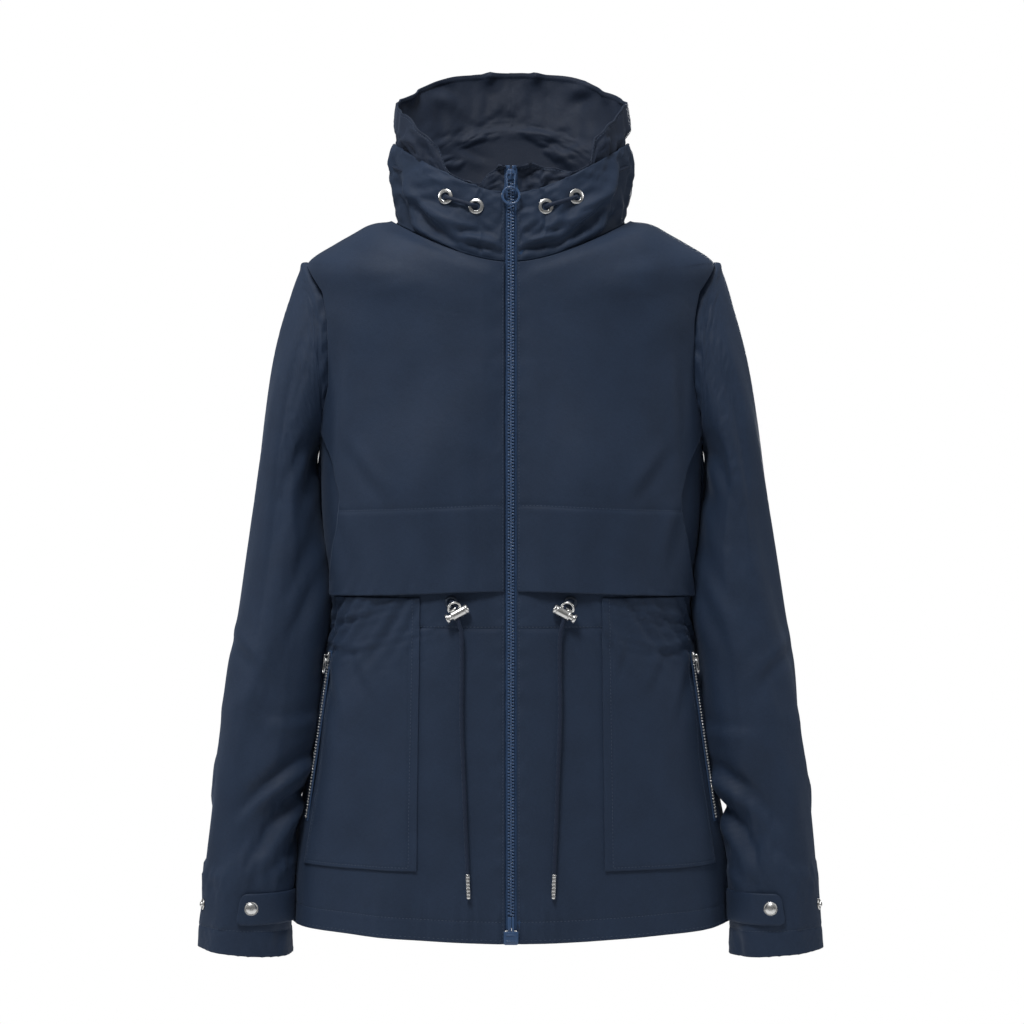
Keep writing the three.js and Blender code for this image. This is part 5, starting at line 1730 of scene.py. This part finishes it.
def zip_ring():
    path = ring_path(RING_MEAN, (0, RING_Y, RING_Z), 64)
    shown("pull_ring", in_zip(tube(path, RING_WIRE, 20, closed=True)), BLUE, "zip_pull_ring",
          ["zip_pull_ring"])


def zip_end():
    """The box on one tape and the pin on the other."""
    low, top = ZIP_BOTTOM, -664.6
    outline = [(-6.8, low + 1.2), (-5.6, low), (5.8, low), (7, low + 1.2), (7, top), (-6.8, top)]
    parts = [slab(outline, -2, -0.5, 0.4, 3), block((-4.8, -0.6, low), (4.8, 3.6, top), 0.4, 3)]
    parts.append(block((-4.6, -2.5, low + 2.6), (4.8, -1.8, low + 4.2), 0.3, 2))
    parts.append(block((-4.6, -2.5, top - 4.2), (4.8, -1.8, top - 2.6), 0.3, 2))
    parts.append(block((-3.1, -0.6, top - 1), (0.5, 1.1, CHAIN[0] - 0.4), 0.3, 2))
    shown("retainer_box", in_zip(joined(parts)), BLUE, replaces=["zip_box"])
    pin = block((0.8, -0.6, low + 1.4), (3.1, 1.1, CHAIN[0] - 0.4), 0.3, 2)
    shown("insertion_pin", in_zip(pin), BLUE, replaces=["zip_pin"])


# ---------------------------------------------------------------- pocket zips


POCKET_ZIP_TOP, POCKET_ZIP_LOW = (77.6 * DEG, -406), (78.6 * DEG, -570)


def pocket_zip_frame():
    """The frame at the zip's top end, z up along it and -y outwards, and the zip's length."""
    ends = (POCKET_ZIP_TOP, POCKET_ZIP_LOW)
    top, low = (shell_point(np.array(angle), row_at(angle, z)) for angle, z in ends)
    z = unit(top - low)
    middle, height = np.mean(ends, axis=0)
    out = shell_normal(middle, row_at(middle, height))
    x = -unit(np.cross(out, z))
    return frame_of(x, np.cross(z, x), z, top), np.linalg.norm(top - low)


def pocket_chain(name, side, place, length):
    """The tape and its two rows of metal teeth."""
    x, z = lines(-5, 5, 0.5)[:, None], lines(-length, 0, 5.0)[None, :]
    outer = np.stack([x + 0 * z, -2.1 - 0.1 * np.cos(x * 4) + 0 * z, z + 0 * x], -1)
    tape = sheet_form(moved(outer.reshape(-1, 3), place).reshape(outer.shape), 0.7).on_side(side)
    shown(f"pocket_tape_{name}", tape, TAPE)
    tooth_shape = slab([(1.9, -0.8), (0.9, -0.7), (0.1, -0.45), (0.1, 0.45), (0.9, 0.7), (1.9, 0.8)],
                       -3.9, -2.1, 0.2, 1)
    row = repeated(tooth_shape, [(0, 0, height) for height in np.arange(-length + 4, -1.5, 2.9)])
    teeth = joined([row, row.on_side(-1)]).placed(place).on_side(side)
    shown(f"pocket_teeth_{name}", teeth, METAL, replaces=[f"pocket_zip_{name}"])


def pocket_slider():
    """A plate with side flanges and a bridge for the pull."""
    plate = [(-2.2, -2), (2.2, -2), (3.5, -4), (3.5, -9.5), (2.4, -11), (-2.4, -11), (-3.5, -9.5), (-3.5, -4)]
    parts = [slab(plate, -4.9, -3.8, 0.3, 3)]
    for flip in (1, -1):
        parts.append(block((2.6, -4.2, -10), (3.5, -2.5, -3.4), 0.25).on_side(flip))
    bridge = [(0, -4.7, -10.4), (0, -6.9, -10), (0, -7.3, -8.6), (0, -7.3, -6.2), (0, -6.9, -4.8),
              (0, -4.7, -4.4)]
    parts.append(tube(smooth_path(bridge, 0.5), 0.6, 12))
    return joined(parts)


def pocket_pull():
    """A long narrow ring that hangs from the bridge."""
    half_wide, half_high, bridge_z = 3.2, 7.4, -8
    ring = ring_path(1, (0, 0, 0), 60) * (half_wide, 1, half_high) + (0, -6.0, bridge_z - half_high)
    return tube(ring, 0.75, 14, closed=True)


def pocket_zip(name, side):
    place, length = pocket_zip_frame()
    pocket_chain(name, side, place, length)
    shown(f"pocket_slider_body_{name}", pocket_slider().placed(place).on_side(side), METAL,
          f"pocket_slider_{name}", [f"pocket_zip_slider_{name}"])
    shown(f"pocket_pull_ring_{name}", pocket_pull().placed(place).on_side(side), METAL,
          f"pocket_pull_{name}", [f"pocket_zip_pull_{name}"])


# ---------------------------------------------------------------- cuffs

CUFF_MIDDLE, CUFF_HALF = np.array((257, -26, 0)), 44
TAB_LOW, TAB_HIGH, TAB_FROM, TAB_TO, TAB_OUTER = -666, -636, -174 * DEG, -88 * DEG, 2.0
TAB_CORNER, TAB_BEND = 6.0, 47
SNAP, FAR_STUD = (249, -650), (298, -650)


def cuff_at(phi, z):
    """The sleeve's surface near the cuff, by angle and height, with its normal."""
    phi, z = np.broadcast_arrays(np.asarray(phi, float), np.asarray(z, float))
    low, high = np.full(phi.shape, LAST_RING - 3.0), np.full(phi.shape, float(LAST_RING))
    for _ in range(24):
        middle = (low + high) / 2
        above = sleeve_point(middle, phi)[..., 2] > z
        low, high = np.where(above, middle, low), np.where(above, high, middle)
    around = sleeve_point(low, phi + 1e-3) - sleeve_point(low, phi - 1e-3)
    down = sleeve_point(low + 1e-3, phi) - sleeve_point(low - 1e-3, phi)
    normal, point = unit(np.cross(around, down)), sleeve_point(low, phi)
    inward = (normal * (point - CUFF_MIDDLE) * (1, 1, 0)).sum(-1, keepdims=True) < 0
    return point, np.where(inward, -normal, normal)


def cuff_frame(x, z):
    """The frame of the point on the front of the cuff at a given x and height."""
    phi = -math.acos((x - CUFF_MIDDLE[0]) / CUFF_HALF)
    point, normal = cuff_at(phi, z)
    side = unit(np.cross((0, 0, 1), normal))
    return frame_of(side, np.cross(normal, side), normal, point)


def tab_grid(side):
    """The outer points of the tab, round the cuff from its sewn end to its rounded free end."""
    reach = (TAB_TO - TAB_FROM) * TAB_BEND
    along = lines(0, reach, 1.6)
    up = np.linspace(0, 1, 17)
    u = (along / reach)[:, None]
    back_off = np.clip(TAB_CORNER - (reach - along), 0, TAB_CORNER)
    corner = (TAB_CORNER - np.sqrt(TAB_CORNER**2 - back_off**2))[:, None]
    low, high = TAB_LOW + corner, TAB_HIGH - corner
    v = (low + (high - low) * up[None, :] - TAB_LOW) / (TAB_HIGH - TAB_LOW)
    phi = TAB_FROM + (TAB_TO - TAB_FROM) * u + 5 * DEG * (1 - v) * u
    point, normal = cuff_at(phi, TAB_LOW + (TAB_HIGH - TAB_LOW) * v)
    edge = np.minimum(np.minimum(v, 1 - v) * 30, reach - along[:, None])
    near_snap = bell(np.hypot(point[..., 0] - SNAP[0], point[..., 2] - SNAP[1]) / 9)
    lift = TAB_OUTER + 0.3 + 0.4 * waves(u * 4, 101 + side, (2, 3)) - 0.5 * bell(edge / 1.0)
    lift += groove(edge - 2.4, 0.4)
    lift = lift * (1 - near_snap) + (TAB_OUTER - 0.1) * near_snap
    return (point + normal * lift[..., None])[:, ::-1]


def cuff_tab(name, side):
    outer = tab_grid(side)
    body = f"cuff_tab_{name}"
    made = cloth_piece(f"cuff_tab_cloth_{name}", outer, 1.3, body, side, rides=False)
    blend_tab(made, name, side)
    for edge in (2, -3):
        sew(outer, slice(1, -2), edge, side, body, pitch=3.0)
    sew(outer, -3, slice(2, -2), side, body, pitch=3.0)


def blend_tab(piece, name, side):
    """Bakes the tab's place into its mesh."""
    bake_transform(piece)


def cuff_fastenings(name, side):
    """The snap on the tab, the stud under it, and the far stud on the sleeve."""
    cap = [(0, 5.1), (2.4, 4.95), (4.3, 4.2), (5.1, 3.5), (5.5, 3.35), (6.3, 3.6), (6.7, 3.1), (6.4, 2.4),
           (2.1, 2.4), (2.1, 0.5), (1.5, 0.5), (1.5, 2.6), (0, 2.6)]
    place = cuff_frame(*SNAP)
    shown(f"snap_{name}", lathe(rounded(cap, 0.5, 4), 64).placed(place).on_side(side), METAL,
          f"cuff_tab_{name}", [f"snap_cap_{name}"])
    near = lathe(rounded([(0, 2.0), (1.0, 2.0), (1.0, 0.3), (0, 0.3)], 0.2), 32)
    shown(f"stud_{name}", near.placed(place).on_side(side), METAL, f"sleeve_{name}",
          [f"near_stud_{name}"])
    far_profile = [(0, 3.2), (1.8, 3.1), (2.4, 2.4), (2.4, 1.5), (5.0, 1.2), (5.5, 0.3), (0, 0.3)]
    far = lathe(rounded(far_profile, 0.4, 4), 64)
    shown(f"outer_stud_{name}", far.placed(cuff_frame(*FAR_STUD)).on_side(side), METAL,
          f"sleeve_{name}", [f"far_stud_{name}"])


# ---------------------------------------------------------------- hanger loop


def hanger_loop():
    """A folded tape sewn down at both ends inside the back neck."""
    bend = [(-38, 69.1), (-36.5, 66), (-33, 62.6), (-26, 62), (-10, 61.7), (10, 61.7), (26, 62), (33, 62.6),
            (36.5, 66), (38, 69.1)]
    path = smooth_path([(x, y, 0) for x, y in bend], 1.5)
    up = lines(0, 6, 0.6)
    rib = 0.2 * np.cos((up - 3) * 2 * math.pi / 2.4)
    outer = np.stack([path[:, None, 0] + 0 * up, path[:, None, 1] - rib, 52 + up + 0 * path[:, None, 0]], -1)
    shown("hanger_tape", sheet_form(outer, 1.0), INNER, replaces=["hanger_loop"])


# ---------------------------------------------------------------- making it

for name, side in SIDES:
    waist_cord_end(name, side)
    cord_lock(name, side)
    lock_spring(name)
collar_cord()
waist_cord_inside()

for name, side in SIDES:
    front_panel(name, side)
    yoke_flap(name, side)
    patch_pocket(name, side)
    sleeve(name, side)
    cuff_tab(name, side)
    cuff_fastenings(name, side)
    pocket_zip(name, side)
    zip_teeth(name, side)
    zip_tape(name, side)
    waist_ring = eyelet("waist").placed(WAIST_PLACE).on_side(side)
    shown(f"waist_ring_{name}", waist_ring, PAINTED, replaces=[f"waist_eyelet_{name}"])
for spot, place in COLLAR_PLACES.items():
    shown(f"collar_ring_{spot}", eyelet("collar").placed(place), METAL,
          replaces=[f"collar_eyelet_{spot}"])
back_panel()
back_yoke()
waist_casing()
storm_flap()
collar_stand()
collar_funnel()
hanger_loop()
zip_slider()
zip_link()
zip_ring()
zip_end()

for body, rows in SEAMS.items():
    sewing = mesh_object(f"stitching_{body}", joined(rows), THREAD)
    side = 1 if body.endswith("left") else -1
    if body.startswith("sleeve_"):
        blend_sleeve(sewing, body.removeprefix("sleeve_"), side)
    elif body.startswith("cuff_tab_"):
        blend_tab(sewing, body.removeprefix("cuff_tab_"), side)
    else:
        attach(sewing, body)

# ---------------------------------------------------------------- stage


FLOOR_Z, FLOOR_REACH = -1450, 3500
LIGHT_AIM = Vector((0, 0, -250))
# The lights: place, size and power.
SOFT_LIGHTS = {
    "front_light": ((-650, -1700, 2200), 800, 47),
    "side_light": ((-2400, -300, 700), 700, 8),
    "other_side_light": ((2400, -300, 700), 700, 6),
    "back_light": ((500, 2600, 250), 900, 26),
}


def floor_material():
    shader = Shader("pale_floor", 0.9)
    place = shader.add("TexCoord").outputs["Object"]
    shader.tinted((0.86, 0.86, 0.86), shader.ramp(shader.noise(place, 3, 2.0), 0.99, 1.01))
    return shader.material


def floor():
    span = np.linspace(-FLOOR_REACH, FLOOR_REACH, 9)
    x, y = np.meshgrid(span, span, indexing="ij")
    form = Form(np.stack([x, y, 0 * x + FLOOR_Z], -1), grid_quads(9, 9))
    mesh_object("floor", form, floor_material())


def soft_light(name, place, size, power):
    """A square area light turned towards the middle of the jacket."""
    data = bpy.data.lights.new(name, "AREA")
    data.shape = "SQUARE"
    data.size = size * MM
    data.energy = power
    made = bpy.data.objects.new(name, data)
    made.location = Vector(place) * MM
    aim = LIGHT_AIM * MM - made.location
    made.rotation_euler = aim.to_track_quat("-Z", "Y").to_euler()
    bpy.context.scene.collection.objects.link(made)


def surround():
    """A white world that lights softly from all round, more from above, and is seen as plain white."""
    world = bpy.data.worlds.new("studio")
    bpy.context.scene.world = world
    world.use_nodes = True
    nodes, links = world.node_tree.nodes, world.node_tree.links
    background = nodes["Background"]
    background.inputs["Color"].default_value = (1, 1, 1, 1)
    ray = nodes.new("ShaderNodeLightPath")
    place = nodes.new("ShaderNodeTexCoord")
    split = nodes.new("ShaderNodeSeparateXYZ")
    lift = nodes.new("ShaderNodeMapRange")
    lift.inputs["From Min"].default_value = -0.6
    lift.inputs["From Max"].default_value = 0.9
    lift.inputs["To Min"].default_value = 0.03
    lift.inputs["To Max"].default_value = 0.22
    seen = nodes.new("ShaderNodeMath")
    seen.operation = "MAXIMUM"
    links.new(place.outputs["Generated"], split.inputs[0])
    links.new(split.outputs["Z"], lift.inputs["Value"])
    links.new(ray.outputs["Is Camera Ray"], seen.inputs[0])
    links.new(lift.outputs["Result"], seen.inputs[1])
    links.new(seen.outputs[0], background.inputs["Strength"])


def overhead_sun():
    sun = bpy.data.lights.new("overhead", "SUN")
    sun.energy = 0.6
    sun.angle = 0.6
    made = bpy.data.objects.new("overhead", sun)
    bpy.context.scene.collection.objects.link(made)


floor()
surround()
for name, (place, size, power) in SOFT_LIGHTS.items():
    soft_light(name, place, size, power)
overhead_sun()
bpy.context.scene.view_settings.view_transform = "Standard"
